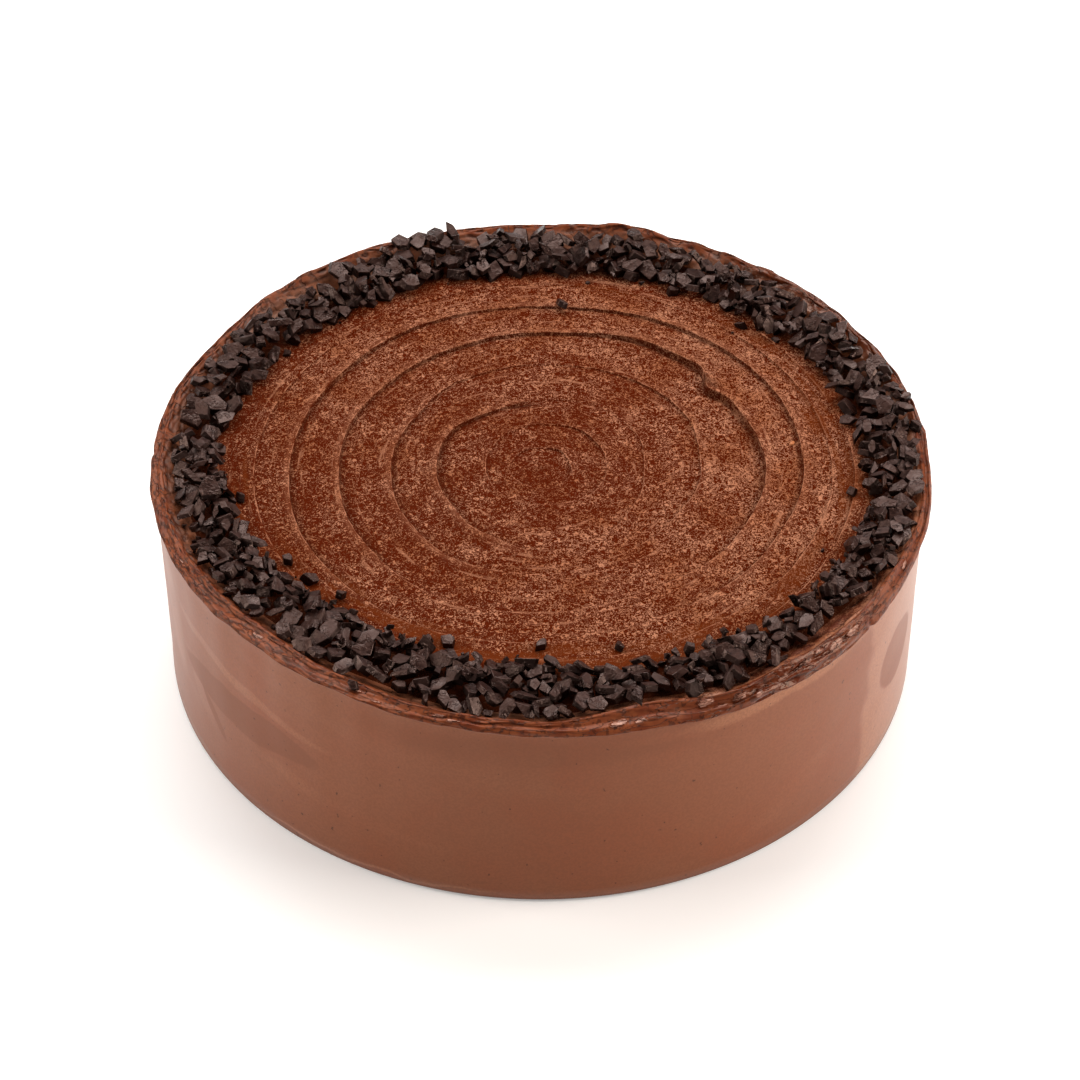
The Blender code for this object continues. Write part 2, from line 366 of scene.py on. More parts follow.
@dataclass
class TopRelief:
    """The top's relief: knife ridges, the folded lump, a torn mark, low swells, and their painted
    shade and highlights.

    The roll, the trough, the edge and the lit strip are each (place, width), measured outwards
    from a ridge's crest or, for the trough, its wall. The lump's pairs run along the radius and,
    in degrees, along the azimuth, and the tear's two pairs are each (centre, width).
    """

    shape: CakeShape
    wander: float = 0.30 * MM
    nibble: float = 0.10 * MM
    strength: Varied = Varied(1.15, ((-0.55, 95.0, 50.0),))
    strength_wander: float = 0.25
    lowest: float = 0.05 * MM
    wall: float = 0.20 * MM
    wall_share: float = 0.22
    wall_shade: float = 0.35
    on_wall: Stretches = ((-1.3, -0.9), (-0.3, 0.1))
    roll: Pair = (0.9 * MM, 1.4 * MM)
    roll_share: float = 0.40
    fall: float = 6.5 * MM
    fall_share: float = 0.60
    shading_heights: Pair = (0.20 * MM, 0.95 * MM)
    line: float = -0.05 * MM
    line_width: Varied = Varied(0.25 * MM, ((-0.10 * MM, 85.0, 60.0),))
    line_depth: float = 0.18
    line_shade: Varied = Varied(0.90, ((-0.14, 12.0, 38.0), (-0.08, 205.0, 50.0)))
    trough: Pair = (-0.8 * MM, 0.9 * MM)
    trough_depth: float = 0.25
    trough_shade: Varied = Varied(0.14, ((0.26, 12.0, 38.0), (0.12, 190.0, 70.0)))
    edge: Pair = (0.12 * MM, 0.13 * MM)
    edge_heights: Pair = (0.1 * MM, 0.4 * MM)
    edge_highlight: Varied = Varied(0.25, ((0.50, 205.0, 60.0), (0.5, 325.0, 45.0), (0.4, 30.0, 35.0)))
    lit: Pair = (1.0 * MM, 1.1 * MM)
    lit_share: float = 0.30
    fold_ridge: int = 4
    fold_pull: Varied = Varied(0.0, ((-3.4 * MM, 35.0, 4.2), (1.4 * MM, 44.0, 5.0)))
    fold_rise: Varied = Varied(0.0, ((0.5 * MM, 36.0, 9.0),))
    lump_place: Pair = (68.4 * MM, 36.5)
    lump_half: Pair = (2.9 * MM, 2.9)
    lump_rise: float = 1.1 * MM
    lump_clean: float = 0.9
    lump_shadow: float = 0.75
    tear_azimuth: Pair = (102.0, 9.0)
    tear_radius: Pair = (31.0 * MM, 0.9 * MM)
    tear_depth: float = 0.5 * MM
    swell: float = 0.20 * MM
    swell_margin: float = 6 * MM
    middle_width: float = 5 * MM
    chip_shade: float = 0.93

    def __post_init__(self) -> None:
        """Draws the relief's noises."""
        self.ridges = self.shape.ridges + self.shape.fine_ridges
        numbers = range(len(self.ridges))
        self.swells = Noise(31, (1, 5), 160.0)
        self.wanders = [Noise(40 + number, (2, 7)) for number in numbers]
        self.nibbles = [Noise(50 + number, (16, 70)) for number in numbers]

    def crest(self, number: int, azimuth: Array) -> tuple[Array, Array]:
        """The edge line of one ridge.

        Args:
            number: Which ridge, from the middle out.
            azimuth: Azimuths in radians.

        Returns:
            Its radius and its height over the level top.
        """
        radii, heights = self.ridges[number]
        wander = self.wanders[number]
        crest = around(radii, azimuth) + self.wander * wander.at(azimuth)
        crest = crest + self.nibble * self.nibbles[number].at(azimuth)
        height = self.strength.at(azimuth) * around(heights, azimuth)
        height = height * (1 + self.strength_wander * wander.at(azimuth + 1.0))
        if number == self.fold_ridge:
            crest = crest + self.fold_pull.at(azimuth)
            height = height + self.fold_rise.at(azimuth)
        return crest, np.maximum(height, self.lowest)

    def lump(self, radius: Array, azimuth: Array) -> Array:
        """Where the round lump lies in which one ridge folds over.

        Args:
            radius: Distances to the middle.
            azimuth: Azimuths in radians.

        Returns:
            1 on the lump and 0 beside it.
        """
        across = (radius - self.lump_place[0]) / self.lump_half[0]
        along = turned(azimuth, self.lump_place[1]) / math.radians(self.lump_half[1])
        return np.exp(-(across ** 4) - along ** 4)

    def ridge(self, number: int, radius: Array, azimuth: Array) -> Layers:
        """One knife ridge: a rolled edge that drops steeply towards the middle.

        Args:
            number: Which ridge, from the middle out.
            radius: Distances to the middle.
            azimuth: Azimuths in radians.

        Returns:
            Its height, how dark the painted shade at its foot, in its trough and on its wall is, and
            how strong the painted highlight on its thin edge is.
        """
        crest, height = self.crest(number, azimuth)
        nibble = self.nibbles[number]
        away = radius - crest
        wall = self.wall + self.wall_share * height
        line = hump(away + wall, self.line, self.line_width.at(azimuth))
        trough = hump(away + wall, *self.trough)
        fall = np.exp(-np.clip(away, 0, None) / self.fall)
        rise = height * smooth(away / wall, -1.0, 0.0)
        rise = rise * (self.fall_share * fall + self.roll_share * hump(away, *self.roll))
        rise = rise - height * (self.line_depth * line + self.trough_depth * trough)

        # Painted shade: the thin line at the wall's foot, the soft band in the trough and the steep
        # wall itself are darkened where shade falls.
        shading_strength = smooth(height, *self.shading_heights)
        on_wall = band(away / wall, *self.on_wall)
        line_dark = self.line_shade.at(azimuth) * np.clip(0.80 + 0.55 * nibble.at(azimuth + 2.0), 0.3, 1.0)
        crease_shade = np.maximum(line_dark * line, trough * self.trough_shade.at(azimuth))
        crease_shade = shading_strength * np.maximum(crease_shade, self.wall_shade * on_wall)

        # Painted highlight: a thin pale line along the ridge's edge, broken up round the cake, and a
        # broader pale strip where light catches the roll; on both the cocoa specks thin out.
        bare = np.clip(self.edge_highlight.at(azimuth) + 0.9 * nibble.at(azimuth + 4.0), 0.0, 1.0)
        edge = hump(away, *self.edge) * smooth(height, *self.edge_heights)
        lit = self.lit_share * shading_strength * hump(away, *self.lit)
        return rise, crease_shade, np.maximum(edge * bare, lit)

    def at(self, radius: Array, azimuth: Array) -> Layers:
        """The relief of the top.

        Args:
            radius: Distances to the middle.
            azimuth: Azimuths in radians.

        Returns:
            Heights in the frame, how dark the painted shade is at each point, and how strong the
            painted highlight on an edge is there, 0 to 1.
        """
        height = np.full(np.broadcast(radius, azimuth).shape, self.shape.level)
        crease_shade, highlight_and_gloss = np.zeros_like(height), np.zeros_like(height)
        for number in range(len(self.ridges)):
            rise, painted_shade, clean = self.ridge(number, radius, azimuth)
            height = height + rise
            crease_shade, highlight_and_gloss = np.maximum(crease_shade, painted_shade), np.maximum(highlight_and_gloss, clean)
        tear = bell(azimuth, *self.tear_azimuth) * hump(radius, *self.tear_radius)
        height = height - self.tear_depth * tear
        # Painted shade in the torn mark's hollow.
        crease_shade = np.maximum(crease_shade, tear)
        inner = self.shape.inner(azimuth) - self.shape.border_foot
        open_top = 1 - smooth(radius - inner, 0.0, self.swell_margin)
        height = height + open_top * self.swell * self.swells.at(azimuth, radius)
        lump = self.lump(radius, azimuth)
        height = height + self.lump_rise * lump
        crease_shade = crease_shade * (1 - self.lump_clean * lump)
        shadow = smooth(self.lump_place[0] - radius, -1.0 * MM, 2.0 * MM)
        shadow = 4 * lump * (1 - lump) * shadow
        crease_shade = np.maximum(crease_shade, self.lump_shadow * shadow)
        middle = self.shape.middle_rise * hump(radius, 0.0, self.middle_width)
        return height + middle, crease_shade, highlight_and_gloss

    def shown(self, radius: Array, azimuth: Array) -> Layers:
        """The relief with the low core under the border, and the shade between its chips.

        Args:
            radius: Distances to the middle.
            azimuth: Azimuths in radians.

        Returns:
            Heights, painted shade and painted highlight, as at() gives them.
        """
        height, crease_shade, highlight_and_gloss = self.at(radius, azimuth)
        inner = self.shape.inner(azimuth)
        outer = self.shape.outer(azimuth)
        away = (radius - (inner + outer) / 2) / (outer - inner)
        core = self.shape.shown_core_rise * np.exp(-(away ** 2) * 3)
        shade = smooth(radius - inner, -1.0 * MM, 2.5 * MM)
        shade = shade * (1 - smooth(radius - outer, -0.5 * MM, 2.5 * MM))
        return height + core, np.maximum(crease_shade, self.chip_shade * shade), highlight_and_gloss


@dataclass(frozen=True)
class Surface:
    """Rows of surface points, each row a closed ring, with what the finish reads at each point.

    Dust is how thickly cocoa lies, gloss is the rim's smooth film or the top's melted cocoa, crease is
    how dark the painted shade in creases is, and polish is a painted highlight on a thin edge, or a
    glossy spot of the rim with painted glints on its flakes.
    """

    points: Array
    values: Array

    LAYERS = ("dust", "gloss", "crease_shade", "highlight_and_gloss")

    @classmethod
    def of(cls, radius: Numbers, azimuth: Array, height: Numbers, dust: Numbers = 0.0,
           gloss: Numbers = 0.0, crease_shade: Numbers = 0.0, highlight_and_gloss: Numbers = 0.0) -> "Surface":
        """Rings from the radius and height at each azimuth.

        Args:
            radius: Radii, one row for each ring, or one for all.
            azimuth: Azimuths in radians.
            height: Heights, laid out as the radii.
            dust: How thickly cocoa lies.
            gloss: How much of the film there is.
            crease_shade: How dark the painted shade in creases is.
            highlight_and_gloss: How strong a painted highlight on an edge is, or how glossy a spot is,
                with painted glints on its flakes.

        Returns:
            The rings.
        """
        azimuth = np.atleast_2d(azimuth)
        radius, height = radius + 0 * azimuth, height + 0 * azimuth
        points = np.stack([radius * np.cos(azimuth), radius * np.sin(azimuth), height], -1)
        values = [value + 0 * height for value in (dust, gloss, crease_shade, highlight_and_gloss)]
        return cls(points, np.stack(values, -1))

    def lay(self, maker: "RingMesh") -> None:
        """Adds all rows to a mesh."""
        for points, values in zip(self.points, self.values):
            maker.ring(points, values)


def azimuths(columns: int) -> Array:
    """The azimuths of a ring's points."""
    return np.arange(columns) * (math.tau / columns)


@dataclass
class Dusting:
    """How thickly cocoa lies on the cream, and where it has melted into it.

    A zone is (amount, centre and width in degrees, and the radii between which it sets in).
    """

    shape: CakeShape
    cover: float = 0.645
    drift: float = 0.035
    patch: float = 0.03
    zones: tuple[tuple[float, float, float, float, float], ...] = (
        (-0.05, 312.0, 38.0, 18 * MM, 40 * MM),
        (-0.05, 70.0, 75.0, 52 * MM, 66 * MM),
        (-0.05, 10.0, 40.0, 30 * MM, 55 * MM),
        (0.03, 215.0, 40.0, 25 * MM, 45 * MM),
    )
    by_border: Varied = Varied(0.05, ((0.08, 275.0, 60.0),))
    by_border_from: Pair = (-13 * MM, -3 * MM)
    middle: float = 0.06
    middle_width: float = 26 * MM
    melted_share: Varied = Varied(0.25, ((0.75, 272.0, 62.0), (0.35, 15.0, 30.0)))
    melted_from: Pair = (-19 * MM, -6 * MM)
    melted_patch: float = 0.5

    def __post_init__(self) -> None:
        """Draws the dusting's noises."""
        self.drifts = Noise(74, (1, 6), 240.0, 24)
        self.patches = Noise(75, (3, 14), 360.0, 30)

    def at(self, radius: Array, azimuth: Array) -> Array:
        """How thickly cocoa lies.

        Args:
            radius: Distances to the middle.
            azimuth: Azimuths in radians.

        Returns:
            The share of the surface that it covers.
        """
        cover = self.cover + self.drift * self.drifts.at(azimuth, radius)
        cover = cover + self.patch * self.patches.at(azimuth, radius)
        for amount, centre, width, start, end in self.zones:
            cover = cover + amount * bell(azimuth, centre, width) * smooth(radius, start, end)
        inner = self.shape.inner(azimuth)
        cover = cover + self.by_border.at(azimuth) * smooth(radius - inner, *self.by_border_from)
        return cover + self.middle * hump(radius, 0.0, self.middle_width)

    def melted(self, radius: Array, azimuth: Array) -> Array:
        """Where the cocoa has melted into the cream, along the border and most at the front.

        Args:
            radius: Distances to the middle.
            azimuth: Azimuths in radians.

        Returns:
            0 where it lies loose, 1 where it is a smooth brown film.
        """
        inner = self.shape.inner(azimuth)
        share = np.minimum(self.melted_share.at(azimuth), 1.0)
        share = share * smooth(radius - inner, *self.melted_from)
        patch = self.melted_patch * self.patches.at(azimuth, radius)
        return share + patch * smooth(share, 0.05, 0.4)


@dataclass
class CreamTop:
    """The ridged top as a slab of its own, with its rings closest together at the ridges."""

    shape: CakeShape
    relief: TopRelief
    dusting: Dusting
    columns: tuple[int, int] = (324, 648)
    inner_ridges: int = 3
    cluster: tuple[float, ...] = (
        -2.1, -1.5, -1.1, -0.86, -0.66, -0.50, -0.36, -0.24, -0.12, 0.0, 0.12, 0.26, 0.55, 1.1, 1.9,
    )
    between: int = 3
    middle_rows: tuple[int, ...] = (2, 5, 9, 14)
    middle_step: float = 0.35 * MM
    outer_rows: int = 8
    rim_overlap: float = 6.2 * MM
    underside: float = 61.0 * MM
    middle_dust: float = 0.6
    lump_bare: float = 0.06

    def radii(self, azimuth: Array) -> Array:
        """The rings' radii, row by row.

        Args:
            azimuth: Azimuths in radians.

        Returns:
            One row for each ring.
        """
        rows = [self.middle_step * step + 0 * azimuth for step in self.middle_rows]
        parts = self.between + 1
        for number in range(len(self.relief.ridges)):
            crest, _ = self.relief.crest(number, azimuth)
            first = crest + self.cluster[0] * MM
            last = rows[-1]
            rows += [last + (first - last) * part / parts for part in range(1, parts)]
            rows += [crest + offset * MM for offset in self.cluster]
        last = rows[-1]
        ends = self.shape.crest(azimuth)[0] - self.rim_overlap
        parts = self.outer_rows
        rows += [last + (ends - last) * part / parts for part in range(1, parts + 1)]
        return np.array(rows)

    def rings(self, columns: int, rows: slice) -> Surface:
        """Some of the top's rings.

        Args:
            columns: Points in a ring.
            rows: Which rings.

        Returns:
            The rings.
        """
        azimuth = azimuths(columns)
        radius = self.radii(azimuth)[rows]
        azimuth = azimuth[None, :]
        height, crease_shade, highlight_and_gloss = self.relief.shown(radius, azimuth)
        bare = self.lump_bare * self.relief.lump(radius, azimuth)
        dust, melted = self.dusting.at(radius, azimuth) - bare, self.dusting.melted(radius, azimuth)
        return Surface.of(radius, azimuth, height, dust, melted, crease_shade, highlight_and_gloss)

    def build(self) -> Thing:
        """Joins all rings into a closed slab.

        Returns:
            The piece, not dressed yet.
        """
        few, many = self.columns
        switch = len(self.middle_rows) + self.inner_ridges * (self.between + len(self.cluster))
        maker = RingMesh()
        centre = self.relief.shown(np.zeros(1), np.zeros(1))[0][0]
        maker.pole((0.0, 0.0, float(centre)), (self.middle_dust, 0.0, 0.0, 0.0))
        self.rings(few, slice(0, switch)).lay(maker)
        self.rings(many, slice(switch, None)).lay(maker)
        azimuth = azimuths(many)
        Surface.of(self.radii(azimuth)[-1], azimuth, self.underside).lay(maker)
        maker.close((0.0, 0.0, self.underside))
        return maker.to_object("cream_top", Surface.LAYERS)

    def make(self) -> Thing:
        """Builds the top and dresses it."""
        return dress(self.build(), DustedTopFinish().material())


@dataclass
class CreamCoat:
    """The rough rim, the side coat and the base as one shell, with the top's slab sunk into it.

    Places along the rim's outline run from 0 at the foot of its inner face to 1 at the top of
    the side coat. A layer is (place, height in mm, the way that its ledge faces, seed), and a
    flake is (azimuth, place, half its turn in degrees, half its way). A point of the inner face
    is (way in from the crest, rise over its foot, share of the crest's rise). The shoulder is
    (share of the way to the lip, share of the drop to it, share of the groove's depth).
    """

    shape: CakeShape
    relief: TopRelief
    side_columns: int = 648
    rim_columns: int = 1296
    inner_rows: int = 20
    face_rows: int = 30
    lower_rows: int = 6
    side_rows: int = 18
    face: Pair = (0.27, 0.80)
    moved: Stretches = ((0.0, 0.08), (0.86, 1.0))
    rough: Stretches = ((0.05, 0.11), (0.74, 0.84))
    glossy: Stretches = ((0.02, 0.10), (0.77, 0.83))
    dusted_to: Pair = (0.10, 0.27)
    slope_to: Pair = (0.14, 0.27)
    cup: float = 62.0 * MM
    cup_inset: float = 1.5 * MM
    cup_gap: float = 0.6 * MM
    inner_foot: float = 0.9 * MM
    inner_face: tuple[Triple, ...] = (
        (7.6 * MM, -0.6 * MM, 0.0), (4.4 * MM, 0.0, 0.24), (1.3 * MM, 0.0, 0.74),
    )
    shoulder: Triple = (0.16, 0.10, 0.35)
    groove_place: Pair = (0.42, 0.12)
    groove: Pair = (0.35 * MM, 0.30 * MM)
    fold_place: Pair = (0.78, 0.66)
    fold: Pair = (0.40 * MM, 0.30 * MM)
    lip_edge: tuple[Pair, ...] = ((0.0, 0.1 * MM), (-0.2 * MM, -0.5 * MM))
    under_lip: tuple[Pair, ...] = ((0.2 * MM, -0.85 * MM), (0.0, -1.9 * MM))
    overhang: float = 0.9 * MM
    crest_rough: Varied = Varied(0.26 * MM, ((0.50 * MM, 52.0, 36.0), (0.50 * MM, 140.0, 30.0)))
    lip_rough: Pair = (0.15 * MM, 0.25 * MM)
    notches: Varied = Varied(0.0, ((0.7 * MM, 324.4, 0.45), (0.5 * MM, 178.0, 0.8)))
    layers: tuple[tuple[float, float, int, int], ...] = (
        (0.335, 0.18, 1, 80), (0.44, 0.30, 1, 81), (0.545, 0.28, 1, 82), (0.63, 0.24, 1, 83),
        (0.70, 0.20, 1, 84), (0.12, 0.30, -1, 85), (0.19, 0.34, -1, 86), (0.255, 0.26, -1, 87),
    )
    layer_wander: float = 0.042
    layer_length: float = 0.055
    layer_end: Pair = (-0.004, 0.016)
    layer_crack: Pair = (0.018, 0.011)
    layer_strength: Varied = Varied(0.25, ((0.55, 218.0, 22.0),))
    layer_tall: float = 1.1
    flake_table: tuple[Quad, ...] = (
        (242.5, 0.50, 1.0, 0.035), (246.0, 0.58, 0.8, 0.030), (255.5, 0.47, 0.9, 0.035),
        (257.8, 0.57, 1.1, 0.040), (281.0, 0.55, 1.4, 0.050), (284.0, 0.58, 0.9, 0.035),
        (294.0, 0.42, 1.3, 0.050), (296.2, 0.52, 1.0, 0.035), (299.2, 0.46, 1.2, 0.040),
        (302.0, 0.60, 0.7, 0.030), (306.5, 0.50, 0.9, 0.035), (311.0, 0.50, 1.2, 0.050),
        (313.6, 0.44, 0.9, 0.040), (317.2, 0.52, 1.6, 0.060), (321.0, 0.50, 1.5, 0.075),
        (337.0, 0.46, 1.0, 0.040), (22.0, 0.48, 1.0, 0.040), (34.0, 0.42, 1.2, 0.050),
        (40.0, 0.46, 0.9, 0.040), (47.0, 0.42, 1.1, 0.040), (150.0, 0.45, 1.0, 0.040),
        (186.0, 0.50, 0.8, 0.030), (203.0, 0.50, 0.8, 0.030), (224.0, 0.54, 1.0, 0.035),
    )
    flake_rise: float = 0.28 * MM
    flake_slant: float = 0.35
    flake_jag: float = 0.25
    flake_edge: Pair = (0.75, 1.15)
    way_scale: float = 6.0
    uneven: Varied = Varied(0.0, ((1.0, 308.0, 17.0), (1.0, 36.0, 27.0)))
    lump_rise: Pair = (0.08 * MM, 0.42 * MM)
    torn: Varied = Varied(0.25, ((1.0, 185.0, 55.0), (1.0, 85.0, 45.0)))
    torn_from: Pair = (0.22, 0.62)
    tear_depth: float = 0.34 * MM
    tear_shade: float = 0.85
    crinkle_rise: float = 0.05 * MM
    speckled: Varied = Varied(0.15, ((0.85, 315.0, 32.0), (0.5, 350.0, 12.0)))
    dust: Pair = (0.76, 0.10)
    slope_shade: float = 0.55
    slope_clean: Pair = (315.0, 24.0)
    lip_shade: Triple = (0.9, 0.86, 0.035)
    shine: float = 0.85
    side_slant: float = 9.0
    side_waves: Pair = (0.16 * MM, 0.05 * MM)
    side_moved: Stretches = ((0.0, 0.15), (0.9, 1.0))

    def __post_init__(self) -> None:
        """Draws the noises of the rim and the side."""
        self.folds = [Noise(60 + number, (1, 9)) for number in range(3)]
        self.crinkle = Noise(70, (20, 90), 4.0, 60)
        self.lumps = Noise(76, (16, 52), 1.4, 40)
        self.tears = Noise(77, (36, 150), 2.2, 60)
        self.ragged = Noise(71, (12, 60), 0.0, 40)
        self.layer_paths = [Noise(layer[-1], (5, 64)) for layer in self.layers]
        self.layer_heights = [Noise(layer[-1] + 10, (4, 22)) for layer in self.layers]
        self.side_low = Noise(72, (1, 6), 14.0, 20)
        self.side_fine = Noise(73, (8, 26), 36.0, 30)

    def outline(self, azimuth: Array) -> Array:
        """The rim's guiding points at each azimuth.

        Args:
            azimuth: Azimuths in radians.

        Returns:
            An array of guide, azimuth and (radius, height).
        """
        crest_radius, crest_height = self.shape.crest(azimuth)
        lip_radius, lip_height = self.shape.lip(azimuth)
        crest_height = crest_height + self.crest_rough.at(azimuth) * self.ragged.at(azimuth)
        out, up = self.lip_rough
        lip_radius = lip_radius + out * self.ragged.at(azimuth + 0.4) - self.notches.at(azimuth)
        lip_height = lip_height + up * self.ragged.at(azimuth + 0.8)
        across, down = lip_radius - crest_radius, crest_height - lip_height
        groove = self.groove[0] + self.groove[1] * self.folds[0].at(azimuth)
        fold = self.fold[0] + self.fold[1] * self.folds[1].at(azimuth)
        middle = self.groove_place[0] + self.groove_place[1] * self.folds[2].at(azimuth)
        wall = np.minimum(self.shape.wall_radius, lip_radius - self.overhang)
        foot = self.shape.level + self.inner_foot
        rise = crest_height - foot
        near, drop, sunk = self.shoulder
        far, low = self.fold_place
        guides = [(crest_radius - back, foot + up + part * rise) for back, up, part in self.inner_face]
        guides += [
            (crest_radius, crest_height),
            (crest_radius + near * across, crest_height - drop * down - sunk * groove),
            (crest_radius + middle * across, crest_height - middle * down - groove),
            (crest_radius + far * across, crest_height - low * down + fold),
        ]
        guides += [(lip_radius + out, lip_height + up) for out, up in self.lip_edge]
        guides += [(wall + out, lip_height + up) for out, up in self.under_lip]
        rows = [[radius + 0 * azimuth, height + 0 * azimuth] for radius, height in guides]
        return np.array(rows).transpose(0, 2, 1)

    def through(self, guides: Array, steps: Array) -> Array:
        """A smooth curve through guiding points.

        Args:
            guides: The guides, as outline() gives them.
            steps: Places along the curve, 0 to 1.

        Returns:
            An array of step, azimuth and (radius, height).
        """
        place = steps * (len(guides) - 1.0)
        low = np.minimum(place.astype(int), len(guides) - 2)
        share = (place - low)[:, None, None]
        before, start = guides[np.maximum(low - 1, 0)], guides[low]
        end, after = guides[low + 1], guides[np.minimum(low + 2, len(guides) - 1)]
        bend = share * (3 * (start - end) + after - before)
        bend = share * (2 * before - 5 * start + 4 * end - after + bend)
        return start + 0.5 * share * (end - before + bend)

    def ledges(self, way: Array, azimuth: Array) -> tuple[Array, Array]:
        """The thin layers that the knife left on the rim, each ending in a sharp ledge.

        Args:
            way: Places along the outline, as a column.
            azimuth: Azimuths in radians.

        Returns:
            How far the surface stands out, and how dark the painted shade in its cracks is.
        """
        push, crease_shade = 0.0, 0.0
        for layer, path, tall in zip(self.layers, self.layer_paths, self.layer_heights):
            start, height, facing, _ = layer
            away = facing * (way - start - self.layer_wander * path.at(azimuth)[None, :])
            strength = self.layer_strength.at(azimuth) + self.layer_tall * tall.at(azimuth)
            strength = np.clip(strength, 0.0, 1.3)[None, :]
            sheet = np.exp(np.minimum(away, 0.0) / self.layer_length)
            sheet = sheet * (1 - smooth(away, *self.layer_end))
            push = push + height * MM * strength * sheet
            # Painted shade in the crack along each layer's ledge.
            crack = hump(away, *self.layer_crack) * np.minimum(strength, 1.0)
            crease_shade = np.maximum(crease_shade, crack)
        return push, crease_shade

    def flakes(self, way: Array, azimuth: Array) -> Array:
        """Where small flat flakes of cream stand out on the rim.

        Args:
            way: Places along the outline, as a column.
            azimuth: Azimuths in radians.

        Returns:
            1 on a flake and 0 beside it.
        """
        total = 0.0
        jag = self.flake_jag * self.crinkle.at(azimuth[None, :], way * self.way_scale)
        for centre, place, half_turn, half_way in self.flake_table:
            along = (turned(azimuth, centre) / math.radians(half_turn))[None, :]
            across = (way - place) / half_way + self.flake_slant * along
            away = np.abs(across) ** 3 + np.abs(along) ** 3
            total = np.maximum(total, 1 - smooth(away + jag, *self.flake_edge))
        return total

    def rim(self) -> Surface:
        """The rim's rings: a smooth curve with layers, lumps, flakes, tears and crinkles on it.

        Returns:
            The rings.
        """
        azimuth = azimuths(self.rim_columns)
        face, lower = self.face
        steps = np.concatenate([
            np.linspace(0.0, face, self.inner_rows, endpoint=False),
            np.linspace(face, lower, self.face_rows, endpoint=False),
            np.linspace(lower, 1.0, self.lower_rows),
        ])
        curve = self.through(self.outline(azimuth), steps)
        along = np.gradient(curve, axis=0)
        normal = np.stack([-along[..., 1], along[..., 0]], -1)
        normal = normal / np.maximum(np.linalg.norm(normal, axis=-1, keepdims=True), 1e-9)

        way, turn = steps[:, None], azimuth[None, :]
        outer = band(way, *self.rough)
        push, crease_shade = self.ledges(way, azimuth)
        crinkle = self.crinkle.at(turn, way * self.way_scale)
        uneven, flakes = self.uneven.at(turn), self.flakes(way, azimuth)
        lumps = self.lump_rise[0] + self.lump_rise[1] * uneven
        lumps = lumps * self.lumps.at(turn, way * self.way_scale)
        tears = smooth(-self.tears.at(turn, way * self.way_scale), *self.torn_from)
        tears = np.minimum(self.torn.at(turn), 1.0) * tears
        push = push + lumps + self.flake_rise * flakes - self.tear_depth * tears
        push = outer * push + self.crinkle_rise * crinkle
        push = push * band(way, *self.moved)
        curve = curve + normal * push[..., None]

        dust = (self.dust[0] + self.dust[1] * crinkle) * np.clip(self.speckled.at(turn), 0, 1)
        dust = dust * (1 - smooth(way, *self.dusted_to))
        gloss = band(way, *self.glossy)
        # Painted shade at the foot of the rim's inner face, beside the chips, except at the front
        # right.
        slope = self.slope_shade * (1 - smooth(way, *self.slope_to))
        slope = slope * (1 - bell(turn, *self.slope_clean))
        # Painted shade in the crease under the lip, in the layers' cracks and in the torn hollows.
        under, place, width = self.lip_shade
        crease_shade = np.maximum(crease_shade * outer, under * hump(way, place, width))
        crease_shade = np.maximum(crease_shade, slope * (0.8 + 0.4 * crinkle))
        crease_shade = np.maximum(crease_shade, self.tear_shade * tears * outer)
        shine = np.clip(np.maximum(self.shine * uneven, flakes) * outer, 0.0, 1.0)
        return Surface.of(curve[..., 0], azimuth, curve[..., 1], dust, gloss, crease_shade, shine)

    def side(self) -> Surface:
        """The side coat's rings, with the scraper's low slanting waves, down to the bevelled foot.

        Returns:
            The rings.
        """
        azimuth = azimuths(self.side_columns)
        top = self.outline(azimuth)[-1]
        share = np.linspace(0.0, 1.0, self.side_rows + 1)[1:, None]
        height = top[None, :, 1] * (1 - share) + self.shape.foot_bevel * share
        radius = top[None, :, 0] * (1 - share) + self.shape.foot_radius * share
        slant = azimuth[None, :] - self.side_slant * np.cos(azimuth)[None, :] * height
        low, fine = self.side_waves
        waves = low * self.side_low.at(slant, height) + fine * self.side_fine.at(slant, height)
        return Surface.of(radius + band(share, *self.side_moved) * waves, azimuth, height)

    def build(self) -> Thing:
        """Joins all rings into one closed shell.

        Returns:
            The piece, not dressed yet.
        """
        maker = RingMesh()
        maker.pole((0.0, 0.0, self.cup), (0.0, 0.0, 0.0, 0.0))
        azimuth = azimuths(self.rim_columns)
        edge = self.outline(azimuth)[0][:, 0] - self.cup_inset
        Surface.of(edge, azimuth, self.cup).lay(maker)
        Surface.of(edge, azimuth, self.relief.shown(edge, azimuth)[0] - self.cup_gap).lay(maker)
        self.rim().lay(maker)
        self.side().lay(maker)
        foot = self.shape.foot_radius - self.shape.foot_bevel
        Surface.of(foot, azimuths(self.side_columns), 0.0).lay(maker)
        maker.close((0.0, 0.0, 0.0))
        return maker.to_object("cream_coat", Surface.LAYERS)

    def make(self) -> Thing:
        """Builds the coat and dresses it."""
        return dress(self.build(), CoatFinish().material())


